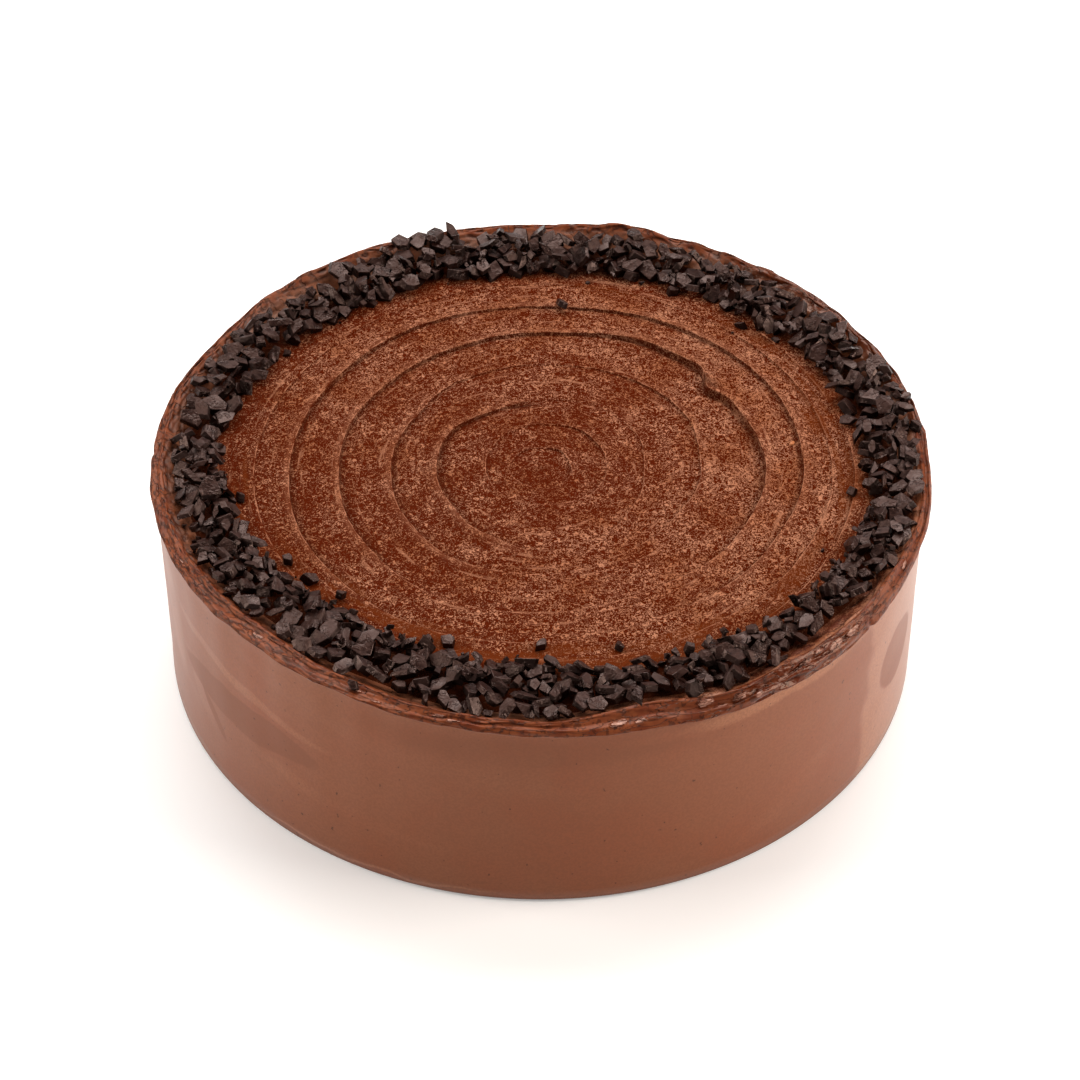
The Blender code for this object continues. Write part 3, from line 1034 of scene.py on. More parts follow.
class RingMesh:
    """Builds a closed mesh ring by ring. A ring may have the last one's points, double or half."""

    def __init__(self) -> None:
        """Starts with no points and no faces."""
        self.points: list[Array] = []
        self.values: list[Array] = []
        self.faces: list[tuple[int, ...]] = []
        self.last: range = range(0)
        self.total = 0

    def add(self, points: Array, values: Array) -> range:
        """Adds points and what the finish reads at them.

        Args:
            points: Places, one row each.
            values: Values, one row each.

        Returns:
            The new points' numbers.
        """
        self.points.append(points)
        self.values.append(values)
        new = range(self.total, self.total + len(points))
        self.total += len(points)
        return new

    def pole(self, point: Sequence[float], values: Sequence[float]) -> None:
        """Starts the mesh with a point in the middle of the first ring."""
        self.last = self.add(np.array([point]), np.array([values]))

    def ring(self, points: Array, values: Array) -> None:
        """Adds a ring and joins it to the last one.

        Args:
            points: The ring's places, in order of azimuth.
            values: What the finish reads at them, one row each.
        """
        count = len(points)
        new = self.add(points, values)
        old = self.last
        if len(old) == 1:
            self.faces += [(old[0], new[i], new[(i + 1) % count]) for i in range(count)]
        elif len(old) == count:
            for i in range(count):
                j = (i + 1) % count
                self.faces.append((old[i], new[i], new[j], old[j]))
        elif len(old) * 2 == count:
            for i in range(len(old)):
                j = (i + 1) % len(old)
                a, b, c = new[2 * i], new[2 * i + 1], new[(2 * i + 2) % count]
                self.faces += [(old[i], a, b), (old[i], b, old[j]), (old[j], b, c)]
        else:
            for i in range(count):
                j = (i + 1) % count
                a, b, c = old[2 * i], old[2 * i + 1], old[(2 * i + 2) % len(old)]
                self.faces += [(new[i], b, a), (new[i], new[j], b), (new[j], c, b)]
        self.last = new

    def close(self, point: Sequence[float]) -> None:
        """Closes the mesh with a fan from the last ring to a point."""
        old = self.last
        new = self.add(np.array([point]), np.zeros((1, self.values[0].shape[1])))
        self.faces += [(old[i], new[0], old[(i + 1) % len(old)]) for i in range(len(old))]

    def to_object(self, name: str, layers: Sequence[str]) -> Thing:
        """Makes the object.

        Args:
            name: The object's name.
            layers: Names of the values that the finish reads.

        Returns:
            The linked object, shaded smooth.
        """
        mesh = bpy.data.meshes.new(name)
        mesh.from_pydata(np.concatenate(self.points).tolist(), [], self.faces)
        values = np.concatenate(self.values)
        for number, layer in enumerate(layers):
            attribute = mesh.attributes.new(layer, "FLOAT", "POINT")
            attribute.data.foreach_set("value", values[:, number].astype(np.float32))
        mesh.polygons.foreach_set("use_smooth", np.ones(len(mesh.polygons), bool))
        mesh.update()
        return linked(name, mesh)


@dataclass
class Heap:
    """How high the cream and the chips on it stand, on a fine grid, so that more can rest on it.

    NOTHING is the rise of a chip that covers no cell, FAR is beyond all heights, and a plane
    whose normal's upward part is below UPRIGHT bounds no height.
    """

    relief: TopRelief
    reach: float = 124.0 * MM
    cell: float = 0.5 * MM
    rim_slope: float = 7 * MM
    rim_curve: float = 1.3
    steepest: float = 0.7
    fewest_cells: int = 9
    lowest: float = 0.01

    NOTHING = -1.0
    FAR = 1.0
    UPRIGHT = 1e-6

    def __post_init__(self) -> None:
        """Fills the grid with the cream's own height."""
        count = int(2 * self.reach / self.cell) + 1
        line = np.linspace(-self.reach, self.reach, count)
        self.x, self.y = np.meshgrid(line, line, indexing="ij")
        radius, azimuth = np.hypot(self.x, self.y), np.arctan2(self.y, self.x)
        height = self.relief.shown(radius, azimuth)[0]
        shape = self.relief.shape
        crest_radius, crest_height = shape.crest(azimuth)
        slope = np.clip((radius - crest_radius + self.rim_slope) / self.rim_slope, 0, 1)
        self.height = height + slope ** self.rim_curve * (crest_height - shape.level)
        self.height[radius > crest_radius] = 0.0
        self.ground = self.height.copy()

    def level_at(self, x: float, y: float) -> float:
        """The height of what lies at a place."""
        across, along = (round((part + self.reach) / self.cell) for part in (x, y))
        return float(self.height[across, along])

    def square(self, x: float, y: float, half: float) -> tuple[slice, slice]:
        """The part of the grid in a square round a place.

        Args:
            x: The place's first coordinate.
            y: The place's second coordinate.
            half: Half the square's width.

        Returns:
            Slices for the grid's two directions.
        """
        return self.window(np.array([[x - half, y - half], [x + half, y + half]]))

    def fill(self, x: float, y: float, half: float) -> float:
        """How high chips already lie over the cream round a place.

        Args:
            x: The place's first coordinate.
            y: The place's second coordinate.
            half: Half the width of the square to look at.

        Returns:
            Their mean height.
        """
        window = self.square(x, y, half)
        return float(np.mean(self.height[window] - self.ground[window]))

    def window(self, points: Array) -> tuple[slice, slice]:
        """The part of the grid under some points.

        Args:
            points: Places, one row each.

        Returns:
            Slices for the grid's two directions.
        """
        low = np.floor((points[:, :2].min(0) + self.reach) / self.cell).astype(int)
        high = np.ceil((points[:, :2].max(0) + self.reach) / self.cell).astype(int) + 1
        return slice(max(low[0], 0), high[0]), slice(max(low[1], 0), high[1])

    def span(self, planes: Array, window: tuple[slice, slice]) -> Layers:
        """Where a convex chip's underside and upper side are over each cell.

        Args:
            planes: One row each: outward normal and distance.
            window: The part of the grid to look at.

        Returns:
            Its lower heights, its upper heights and which cells it covers.
        """
        x, y = self.x[window], self.y[window]
        low, high = np.full(x.shape, -self.FAR), np.full(x.shape, self.FAR)
        for nx, ny, nz, distance in planes:
            if abs(nz) < self.UPRIGHT:
                continue
            z = (distance - nx * x - ny * y) / nz
            if nz > 0:
                high = np.minimum(high, z)
            else:
                low = np.maximum(low, z)
        return low, high, high > low

    def lay(self, planes: Array, points: Array) -> None:
        """Raises the grid to the upper side of a chip that stays where it is.

        Args:
            planes: The chip's planes.
            points: The chip's corners.
        """
        window = self.window(points)
        _, high, inside = self.span(planes, window)
        height = self.height[window]
        self.height[window] = np.where(inside, np.maximum(height, high), height)

    def drop(self, planes: Array, points: Array, sink: float) -> float:
        """How far a chip has to rise to rest on what lies under it.

        Args:
            planes: The chip's planes.
            points: The chip's corners.
            sink: Share of the cells under it that may reach into it.

        Returns:
            The rise in metres, or NOTHING where it covers nothing.
        """
        window = self.window(points)
        low, _, inside = self.span(planes, window)
        gap = (self.height[window] - low)[inside]
        return float(np.quantile(gap, 1 - sink)) if gap.size else self.NOTHING

    def slope(self, x: float, y: float, half: float) -> Vector:
        """The upward normal of what lies round a place.

        Args:
            x: The place's first coordinate.
            y: The place's second coordinate.
            half: Half the width of the square to look at.

        Returns:
            The normal, with its tilt held below a steep heap's.
        """
        z = self.height[self.square(x, y, half)]
        if z.size < self.fewest_cells or z.min() < self.lowest:
            return Vector((0, 0, 1))
        across = float(np.mean(z[-1, :] - z[0, :])) / (2 * half)
        along = float(np.mean(z[:, -1] - z[:, 0])) / (2 * half)
        most = self.steepest
        lean = (-max(-most, min(most, rise)) for rise in (across, along))
        return Vector((*lean, 1)).normalized()


class ChipKind(Enum):
    """The shapes that chocolate snaps into, as corner counts to draw from."""

    SOLID = (4, 5, 5)
    PLATE = (4, 5, 5, 6)
    SPLINTER = (3, 4, 4)
    SLIVER = (4, 4, 5)


@dataclass(frozen=True)
class Cut:
    """One way of chopping: a chip's shape, the limits of its sizes and how far its edges wear."""

    kind: ChipKind
    length: Pair
    width_share: Pair
    thickness: Pair
    wear: float
    wedge: float = 0.45


@dataclass
class Border:
    """The border of chopped chocolate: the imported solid's own chips, and finer ones among them.

    A stray is (radius in mm, azimuth in degrees), a gap is (azimuth, half its width) in degrees,
    and the overhang is how many millimetres finer chips may lie beyond the border's outer line.
    """

    shape: CakeShape
    heap: Heap
    seed: int = 5
    solid: Cut = Cut(
        ChipKind.SOLID, (5.8 * MM, 9.6 * MM), (0.55, 0.9), (1.8 * MM, 3.2 * MM), 0.12 * MM,
    )
    solid_count: int = 228
    solid_jitter: float = 0.28
    solid_reach: Pair = (0.82, 1.0)
    solid_slant: Pair = (0.78, 1.08)
    solid_uneven: Pair = (0.8, 1.1)
    solid_tilt: float = 34.0
    spacing: Pair = (5.1 * MM, 6.8 * MM)
    lift: Pair = (0.5 * MM, 2.0 * MM)
    tries: int = 80
    strays: tuple[Pair, ...] = (
        (79.0, 85.0), (94.0, 47.0), (96.5, 63.5), (96.0, 352.5), (83.5, 286.0), (80.5, 270.0),
        (83.5, 251.0), (84.5, 247.0), (84.0, 225.0), (86.5, 217.0), (87.5, 210.0), (93.0, 189.0),
        (115.4, 242.0), (117.6, 7.5), (117.4, 13.5),
    )
    stray_length: Pair = (4.2 * MM, 6.0 * MM)
    flat: Cut = Cut(
        ChipKind.PLATE, (5.4 * MM, 9.8 * MM), (0.46, 0.90), (1.0 * MM, 1.9 * MM), 0.10 * MM,
    )
    sliver: Cut = Cut(
        ChipKind.SLIVER, (5.6 * MM, 10.4 * MM), (0.24, 0.42), (1.2 * MM, 2.2 * MM), 0.10 * MM,
    )
    small: Cut = Cut(
        ChipKind.SPLINTER, (2.4 * MM, 5.0 * MM), (0.45, 0.9), (0.9 * MM, 1.7 * MM), 0.08 * MM,
    )
    crumb: Cut = Cut(
        ChipKind.PLATE, (0.8 * MM, 1.8 * MM), (0.5, 0.95), (0.5 * MM, 1.0 * MM), 0.05 * MM,
    )
    plate_count: int = 470
    plate_tries: int = 7
    plate_margin: float = 0.6 * MM
    plate_jitter: float = 0.3
    plate_reach: Pair = (0.72, 1.0)
    plate_shear: float = 0.12
    plate_taper: float = 0.9
    plate_tilt: Pair = (16.0, 65.0)
    steep_share: float = 0.22
    sliver_share: float = 0.24
    small_count: int = 170
    small_tries: int = 5
    small_margin: float = 2.0 * MM
    small_tilt: float = 32.0
    crumb_count: int = 40
    crumb_tilt: float = 30.0
    crumb_inset: float = 1 * MM
    crumb_spread: float = 3.0 * MM
    highest: float = 79.0 * MM
    sink: float = 0.08
    gaps: tuple[Pair, ...] = ((350.0, 2.0), (172.0, 1.8), (290.0, 1.6))
    overhang: Varied = Varied(2.6, (
        (2.6, 110.0, 24.0), (1.0, 20.0, 30.0), (-4.6, 86.0, 5.0), (-2.0, 315.0, 18.0),
    ))
    edge_fill: float = 0.45
    fill_half: float = 2.0 * MM

    def __post_init__(self) -> None:
        """Starts with no chips."""
        self.mesh = bmesh.new()

    def corners(self, draw: random.Random, cut: Cut, length: float) -> list[Vector]:
        """The corners of one of the solid's chips, which are drawn as the solid draws them.

        Args:
            draw: The draws.
            cut: The limits of its width and thickness.
            length: Its length.

        Returns:
            The corners of its lower and upper face, round its own middle.
        """
        corners = draw.choice(cut.kind.value)
        width = length * draw.uniform(*cut.width_share)
        thickness = draw.uniform(*cut.thickness)
        turn = draw.uniform(0, math.tau)
        jitter = self.solid_jitter
        points = []
        for corner in range(corners):
            angle = turn + math.tau * (corner + draw.uniform(-jitter, jitter)) / corners
            reach = draw.uniform(*self.solid_reach) / 2
            x, y = reach * length * math.cos(angle), reach * width * math.sin(angle)
            slant = draw.uniform(*self.solid_slant)
            points.append(Vector((x, y, -thickness / 2)))
            upper = thickness / 2 * draw.uniform(*self.solid_uneven)
            points.append(Vector((x * slant, y * slant, upper)))
        return points

    def plate(self, draw: random.Random, cut: Cut) -> list[Vector]:
        """The corners of a flat chip, whose faces are plane and a little out of parallel.

        Args:
            draw: The draws.
            cut: The limits of its sizes.

        Returns:
            The corners round the chip's own middle.
        """
        corners = draw.choice(cut.kind.value)
        length, half = draw.uniform(*cut.length), draw.uniform(*cut.thickness) / 2
        width, turn = length * draw.uniform(*cut.width_share), draw.uniform(0, math.tau)
        lean = [draw.uniform(-cut.wedge, cut.wedge) for _ in range(2)]
        shear = [draw.uniform(-self.plate_shear, self.plate_shear) * length for _ in range(2)]
        jitter, taper = self.plate_jitter, self.plate_taper
        points = []
        for corner in range(corners):
            angle = turn + math.tau * (corner + draw.uniform(-jitter, jitter)) / corners
            across = draw.uniform(*self.plate_reach) * math.cos(angle)
            along = draw.uniform(*self.plate_reach) * math.sin(angle)
            x, y = across * length / 2, along * width / 2
            upper = half * (1 + lean[0] * across + lean[1] * along)
            points.append(Vector((x, y, -half)))
            points.append(Vector((x * taper + shear[0], y * taper + shear[1], upper)))
        return points

    def solid_places(self) -> tuple[random.Random, list[Triple]]:
        """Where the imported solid's chips lie.

        Returns:
            The draws so far and each chip's (radius, azimuth, length).
        """
        draw = random.Random(self.seed)
        places, spots = [], []
        for _ in range(self.tries * self.solid_count):
            azimuth = draw.uniform(0, math.tau)
            inner = self.shape.inner(azimuth)
            outer = self.shape.outer(azimuth)
            radius = draw.uniform(inner, outer)
            spot = Vector((radius * math.cos(azimuth), radius * math.sin(azimuth), 0))
            spacing = draw.uniform(*self.spacing)
            if all((spot - other).length > spacing for other in spots):
                spots.append(spot)
                places.append((radius, azimuth, draw.uniform(*self.solid.length)))
            if len(places) == self.solid_count:
                break
        for radius, degrees in self.strays:
            length = draw.uniform(*self.stray_length)
            places.append((radius * MM, math.radians(degrees), length))
        return draw, places

    def planes(self, chip: ChipMesh) -> Array:
        """The planes of a convex chip, one row each: outward normal and distance."""
        return np.array([[*face.normal, face.normal.dot(face.verts[0].co)] for face in chip.faces])

    def points(self, chip: ChipMesh) -> Array:
        """The corners of a chip, one row each."""
        return np.array([point.co for point in chip.verts])

    def hull(self, corners: list[Vector], pose: Matrix) -> ChipMesh:
        """A closed convex chip.

        Args:
            corners: The chip's corners round its own middle.
            pose: Where it lies.

        Returns:
            The chip's own mesh.
        """
        chip = bmesh.new()
        bmesh.ops.convex_hull(chip, input=[chip.verts.new(corner) for corner in corners])
        bmesh.ops.dissolve_limit(chip, angle_limit=math.radians(2), verts=chip.verts, edges=chip.edges)
        bmesh.ops.recalc_face_normals(chip, faces=chip.faces)
        chip.transform(pose)
        chip.normal_update()
        return chip

    def add(self, chip: ChipMesh, wear: float) -> None:
        """Lays a chip on the heap, wears its edges a little and adds it to the border.

        Args:
            chip: The chip's own mesh, freed afterwards.
            wear: Width of its worn edges.
        """
        self.heap.lay(self.planes(chip), self.points(chip))
        bmesh.ops.bevel(
            chip, geom=chip.edges, offset=wear, segments=1, profile=0.5, affect="EDGES",
            clamp_overlap=True,
        )
        worn = bpy.data.meshes.new("chip")
        chip.to_mesh(worn)
        chip.free()
        self.mesh.from_mesh(worn)
        bpy.data.meshes.remove(worn)

    def turn(self, draw: random.Random, tilt: float) -> Matrix:
        """A drawn turn about the upright, with a drawn tilt.

        Args:
            draw: The draws.
            tilt: Most tilt each way in degrees.

        Returns:
            The turn.
        """
        most = math.radians(tilt)
        lean = (draw.uniform(-most, most), draw.uniform(-most, most))
        return Euler((*lean, draw.uniform(0, math.tau))).to_matrix().to_4x4()

    def lay_solid_chips(self) -> None:
        """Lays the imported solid's chips exactly where it has them."""
        draw, places = self.solid_places()
        for radius, azimuth, length in places:
            corners = self.corners(draw, self.solid, length)
            turn = self.turn(draw, self.solid_tilt)
            height = self.shape.solid_height(radius, azimuth) + draw.uniform(*self.lift)
            spot = Vector((radius * math.cos(azimuth), radius * math.sin(azimuth), height))
            self.add(self.hull(corners, Matrix.Translation(spot) @ turn), self.solid.wear)

    def drop_chip(self, draw: random.Random, cut: Cut, spot: Pair, tilt: float) -> None:
        """Drops a chip on the heap, tilted as what lies under it is, unless it would stand too high.

        Args:
            draw: The draws.
            cut: The chip's shape and the limits of its sizes.
            spot: Radius and azimuth to drop it at.
            tilt: Most random tilt in degrees.
        """
        corners = self.plate(draw, cut)
        x, y = spot[0] * math.cos(spot[1]), spot[0] * math.sin(spot[1])
        under = self.heap.slope(x, y, cut.length[0] / 2)
        lean = Vector((0, 0, 1)).rotation_difference(under).to_matrix().to_4x4()
        pose = Matrix.Translation((x, y, self.shape.level)) @ lean @ self.turn(draw, tilt)
        chip = self.hull(corners, pose)
        points = self.points(chip)
        rise = self.heap.drop(self.planes(chip), points, self.sink)
        if rise == self.heap.NOTHING or points[:, 2].max() + rise > self.highest:
            chip.free()
            return
        chip.transform(Matrix.Translation((0, 0, rise)))
        self.add(chip, cut.wear)

    def emptiest_spot(self, draw: random.Random, tries: int, margin: float) -> Pair:
        """The place in the border where the fewest chips lie, of a few drawn ones.

        Args:
            draw: The draws.
            tries: How many places are drawn.
            margin: How far inside the border's inner edge a place may lie.

        Returns:
            Its radius and azimuth.
        """
        best, spot = math.inf, (0.0, 0.0)
        for _ in range(tries):
            azimuth = draw.uniform(0, math.tau)
            inner = self.shape.inner(azimuth) - margin
            outer = self.shape.outer(azimuth)
            outer += float(self.overhang.at(azimuth)) * MM
            if any(abs(math.degrees(azimuth) - centre) < half for centre, half in self.gaps):
                continue
            share = draw.random()
            radius = inner + (outer - inner) * share
            x, y = radius * math.cos(azimuth), radius * math.sin(azimuth)
            wanted = 1.0 - self.edge_fill * abs(2 * share - 1) ** 2
            fill = self.heap.fill(x, y, self.fill_half) / wanted
            if fill < best:
                best, spot = fill, (radius, azimuth)
        return spot

    def drop_plates(self) -> None:
        """Heaps flat chips over the whole width of the border, gaps first."""
        draw = random.Random(self.seed + 1)
        low, steep = self.plate_tilt
        for _ in range(self.plate_count):
            spot = self.emptiest_spot(draw, self.plate_tries, self.plate_margin)
            tilt = steep if draw.random() < self.steep_share else low
            cut = self.sliver if draw.random() < self.sliver_share else self.flat
            self.drop_chip(draw, cut, spot, tilt)
        for _ in range(self.small_count):
            spot = self.emptiest_spot(draw, self.small_tries, self.small_margin)
            self.drop_chip(draw, self.small, spot, self.small_tilt)

    def drop_crumbs(self) -> None:
        """Scatters crumbs of the same chocolate, most of them by the border's inner edge."""
        draw = random.Random(self.seed + 2)
        for _ in range(self.crumb_count):
            azimuth = draw.uniform(0, math.tau)
            inner = self.shape.inner(azimuth)
            radius = inner - self.crumb_inset + draw.gauss(0, 1) * self.crumb_spread
            self.drop_chip(draw, self.crumb, (radius, azimuth), self.crumb_tilt)

    def build(self) -> Thing:
        """Makes the border's one mesh.

        Returns:
            The piece, not dressed yet.
        """
        self.lay_solid_chips()
        self.drop_plates()
        self.drop_crumbs()
        return linked_mesh("chopped_chocolate", self.mesh)

    def make(self) -> Thing:
        """Builds the border and dresses it."""
        return dress(self.build(), DarkFinish().material())


@dataclass(frozen=True)
class Crumb:
    """The one pale crumb that lies on the top."""

    heap: Heap
    radius: float = 79.0 * MM
    azimuth: float = math.radians(8.5)
    half_size: Triple = (1.2 * MM, 0.7 * MM, 0.5 * MM)
    corners: int = 26
    turn: float = 0.9
    rest: float = 0.7
    seed: int = 9

    def build(self) -> Thing:
        """Makes the crumb where it rests on the heap.

        Returns:
            The piece, not dressed yet.
        """
        draw = random.Random(self.seed)
        mesh = bmesh.new()
        for _ in range(self.corners):
            way = Vector([draw.gauss(0, 1) for _ in range(3)]).normalized()
            mesh.verts.new([part * half for part, half in zip(way, self.half_size)])
        bmesh.ops.convex_hull(mesh, input=mesh.verts)
        x, y = self.radius * math.cos(self.azimuth), self.radius * math.sin(self.azimuth)
        height = self.heap.level_at(x, y) + self.rest * self.half_size[2]
        mesh.transform(Matrix.Translation((x, y, height)) @ Matrix.Rotation(self.turn, 4, "Z"))
        return linked_mesh("crumb", mesh)

    def make(self) -> Thing:
        """Builds the crumb and dresses it."""
        return dress(self.build(), CrumbFinish().material())


class Easing(Enum):
    """How a stretch of values turns into another."""

    SMOOTH = "SMOOTHSTEP"
    EVEN = "LINEAR"


class Finish:
    """A node material, with short calls for the nodes that the finishes use."""

    def __init__(self, name: str) -> None:
        """Starts a material with its shader."""
        self.material = bpy.data.materials.new(name)
        self.material.use_nodes = True
        self.tree = self.material.node_tree
        self.shader = self.tree.nodes["Principled BSDF"]
        self.place = self.node("ShaderNodeTexCoord").outputs["Object"]

    def node(self, kind: str, **settings: object) -> bpy.types.Node:
        """Adds a node.

        Args:
            kind: The node's type.
            **settings: Properties to set on it.

        Returns:
            The node.
        """
        made = self.tree.nodes.new(kind)
        for key, value in settings.items():
            setattr(made, key, value)
        return made

    def feed(self, socket: Socket, value: Input) -> None:
        """Links an output to a socket, or sets the socket to a value.

        Args:
            socket: The socket.
            value: The output or the value.
        """
        if isinstance(value, Socket):
            self.tree.links.new(value, socket)
        else:
            socket.default_value = value

    def give(self, name: str, value: Input) -> None:
        """Feeds one of the shader's own sockets."""
        self.feed(self.shader.inputs[name], value)

    def surface(self, colour: Input, rough: Input, normal: Socket, specular: float = 0.5,
                tint: Colour = (1.0, 1.0, 1.0, 1.0)) -> bpy.types.Material:
        """Feeds the shader what makes up a surface.

        Args:
            colour: Its colour.
            rough: Its roughness.
            normal: Its bent normal.
            specular: Strength of its highlights.
            tint: Their colour.

        Returns:
            The material.
        """
        self.give("Base Color", colour)
        self.give("Roughness", rough)
        self.give("Normal", normal)
        self.give("Specular IOR Level", specular)
        self.give("Specular Tint", tint)
        return self.material

    def attribute(self, name: str) -> Socket:
        """What the mesh keeps under a name at each point."""
        return self.node("ShaderNodeAttribute", attribute_name=name).outputs["Fac"]

    def noise(self, scale: float, detail: float = 3.0, rough: float = 0.5,
              at: Socket | None = None, bend: float = 0.0) -> Socket:
        """A noise texture.

        Args:
            scale: Features per metre.
            detail: Octaves.
            rough: Strength of the finer octaves.
            at: Where to read it, instead of the object's own place.
            bend: Distortion.

        Returns:
            Its value, 0 to 1.
        """
        made = self.node("ShaderNodeTexNoise")
        self.feed(made.inputs["Vector"], self.place if at is None else at)
        settings = {"Scale": scale, "Detail": detail, "Roughness": rough, "Distortion": bend}
        for name, setting in settings.items():
            made.inputs[name].default_value = setting
        return made.outputs["Fac"]

    def math(self, kind: str, first: Input, second: Input = 0.0, third: Input = 0.0) -> Socket:
        """A sum on up to three values.

        Args:
            kind: The operation.
            first: Its first value.
            second: Its second value.
            third: Its third value.

        Returns:
            The result.
        """
        made = self.node("ShaderNodeMath", operation=kind)
        for number, given in enumerate((first, second, third)):
            self.feed(made.inputs[number], given)
        return made.outputs[0]

    def ease(self, value: Input, low: Input, high: Input, start: Input = 0.0, end: Input = 1.0,
             easing: Easing = Easing.SMOOTH) -> Socket:
        """Turns a value's stretch from low to high into start to end.

        Args:
            value: The value.
            low: Where it starts.
            high: Where it ends.
            start: Result at low.
            end: Result at high.
            easing: How the stretch is taken.

        Returns:
            The result.
        """
        made = self.node("ShaderNodeMapRange", interpolation_type=easing.value)
        for number, given in enumerate((value, low, high, start, end)):
            self.feed(made.inputs[number], given)
        return made.outputs[0]

    def mix(self, share: Input, first: Input, second: Input) -> Socket:
        """Mixes two colours.

        Args:
            share: How much of the second.
            first: A colour or an output.
            second: A colour or an output.

        Returns:
            The mixed colour.
        """
        made = self.node("ShaderNodeMix", data_type="RGBA")
        self.feed(made.inputs[0], share)
        self.feed(made.inputs[6], first)
        self.feed(made.inputs[7], second)
        return made.outputs[2]

    def parts(self, place: Socket) -> Sequence[Socket]:
        """The coordinates of a place or a direction.

        Args:
            place: The place or direction.

        Returns:
            Its three coordinates.
        """
        made = self.node("ShaderNodeSeparateXYZ")
        self.feed(made.inputs[0], place)
        return made.outputs

    def vector(self, kind: str, *given: Input) -> bpy.types.Node:
        """A sum on vectors.

        Args:
            kind: The operation.
            *given: What it works on.

        Returns:
            The node.
        """
        made = self.node("ShaderNodeVectorMath", operation=kind)
        for socket, value in zip(made.inputs, given):
            self.feed(socket, value)
        return made

    def ring_place(self, across: float, along: float) -> Socket:
        """A place that stretches a texture round the cake.

        Args:
            across: Features per metre outwards and down.
            along: Features per radian of azimuth.

        Returns:
            The place to read a texture at.
        """
        flat = self.vector("MULTIPLY", self.place, (1, 1, 0)).outputs[0]
        length = self.vector("LENGTH", flat).outputs["Value"]
        turn = self.vector("SCALE", self.vector("NORMALIZE", flat).outputs[0])
        turn.inputs["Scale"].default_value = along
        out = self.math("SUBTRACT", length, self.parts(self.place)[2])
        column = self.node("ShaderNodeCombineXYZ")
        self.feed(column.inputs[2], self.math("MULTIPLY", out, across))
        return self.vector("ADD", turn.outputs[0], column.outputs[0]).outputs[0]

    def turn(self) -> Socket:
        """How far a place is turned from the front, in degrees, positive to the right."""
        parts = self.parts(self.place)
        ahead = self.math("MULTIPLY", parts[1], -1.0)
        return self.math("MULTIPLY", self.math("ARCTAN2", parts[0], ahead), math.degrees(1.0))

    def upward(self) -> Socket:
        """How much a face looks up, 1 for a level one."""
        return self.parts(self.node("ShaderNodeNewGeometry").outputs["Normal"])[2]

    def height(self) -> Socket:
        """How high a place lies over the base, in metres."""
        return self.parts(self.place)[2]

    def bump(self, height: Input, distance: float, onto: Socket | None = None) -> Socket:
        """A bump from a height of 0 to 1.

        Args:
            height: The height.
            distance: What a height of 1 is, in metres.
            onto: A bump below it.

        Returns:
            The bent normal.
        """
        made = self.node("ShaderNodeBump")
        made.inputs["Strength"].default_value = 1.0
        made.inputs["Distance"].default_value = distance
        self.feed(made.inputs["Height"], height)
        if onto is not None:
            self.feed(made.inputs["Normal"], onto)
        return made.outputs[0]


@dataclass(frozen=True)
class CocoaSpecks:
    """Cocoa lying in small uneven specks on paler cream."""

    cream: Colour = (0.420, 0.178, 0.098, 1.0)
    cream_warm: Colour = (0.290, 0.098, 0.042, 1.0)
    cocoa: Colour = (0.044, 0.0028, 0.0001, 1.0)
    cocoa_pale: Colour = (0.090, 0.0105, 0.0006, 1.0)
    # Pale colour of the painted highlight along the ridges' edges.
    edge: Colour = (0.430, 0.175, 0.095, 1.0)
    melted: Colour = (0.135, 0.0270, 0.0050, 1.0)
    scale: float = 1180.0
    clump_scale: float = 0.30
    powder_scale: float = 1.9
    grain_share: float = 0.84
    clump_share: float = 0.16
    thresholds: Pair = (0.66, 0.34)
    softness: float = 0.036
    on_edges: float = 0.15

    def build(self, finish: Finish, cover: Input, highlight_and_gloss: Input) -> tuple[Socket, Socket]:
        """The colour of dusted cream.

        Args:
            finish: The material.
            cover: How thickly the cocoa lies, 0 to 1.
            highlight_and_gloss: Where a painted highlight on a thin edge keeps it free of specks, 0 to
                1.

        Returns:
            The colour and where a speck lies, 0 to 1.
        """
        grain = finish.noise(self.scale, 2.0, 0.6, bend=1.6)
        clump = finish.noise(self.scale * self.clump_scale, 2.0, 0.5)
        grain = finish.math("MULTIPLY", grain, self.grain_share)
        level = finish.math("ADD", grain, finish.math("MULTIPLY", clump, self.clump_share))
        edge = finish.ease(cover, 0.0, 1.0, *self.thresholds, Easing.EVEN)
        start = finish.math("SUBTRACT", edge, self.softness)
        speck = finish.ease(level, start, finish.math("ADD", edge, self.softness))
        # Painted highlight: specks thin out and the cream turns pale along the ridges' edges.
        clean = finish.ease(highlight_and_gloss, 0.0, 1.0, 1.0, self.on_edges)
        speck = finish.math("MULTIPLY", speck, clean)
        tint = finish.ease(finish.noise(70.0, 3.0, 0.6), 0.35, 0.65)
        ground = finish.mix(tint, self.cream, self.cream_warm)
        ground = finish.mix(highlight_and_gloss, ground, self.edge)
        lot = finish.noise(self.scale * self.powder_scale, 1.0)
        powder = finish.mix(lot, self.cocoa, self.cocoa_pale)
        return finish.mix(speck, ground, powder), speck


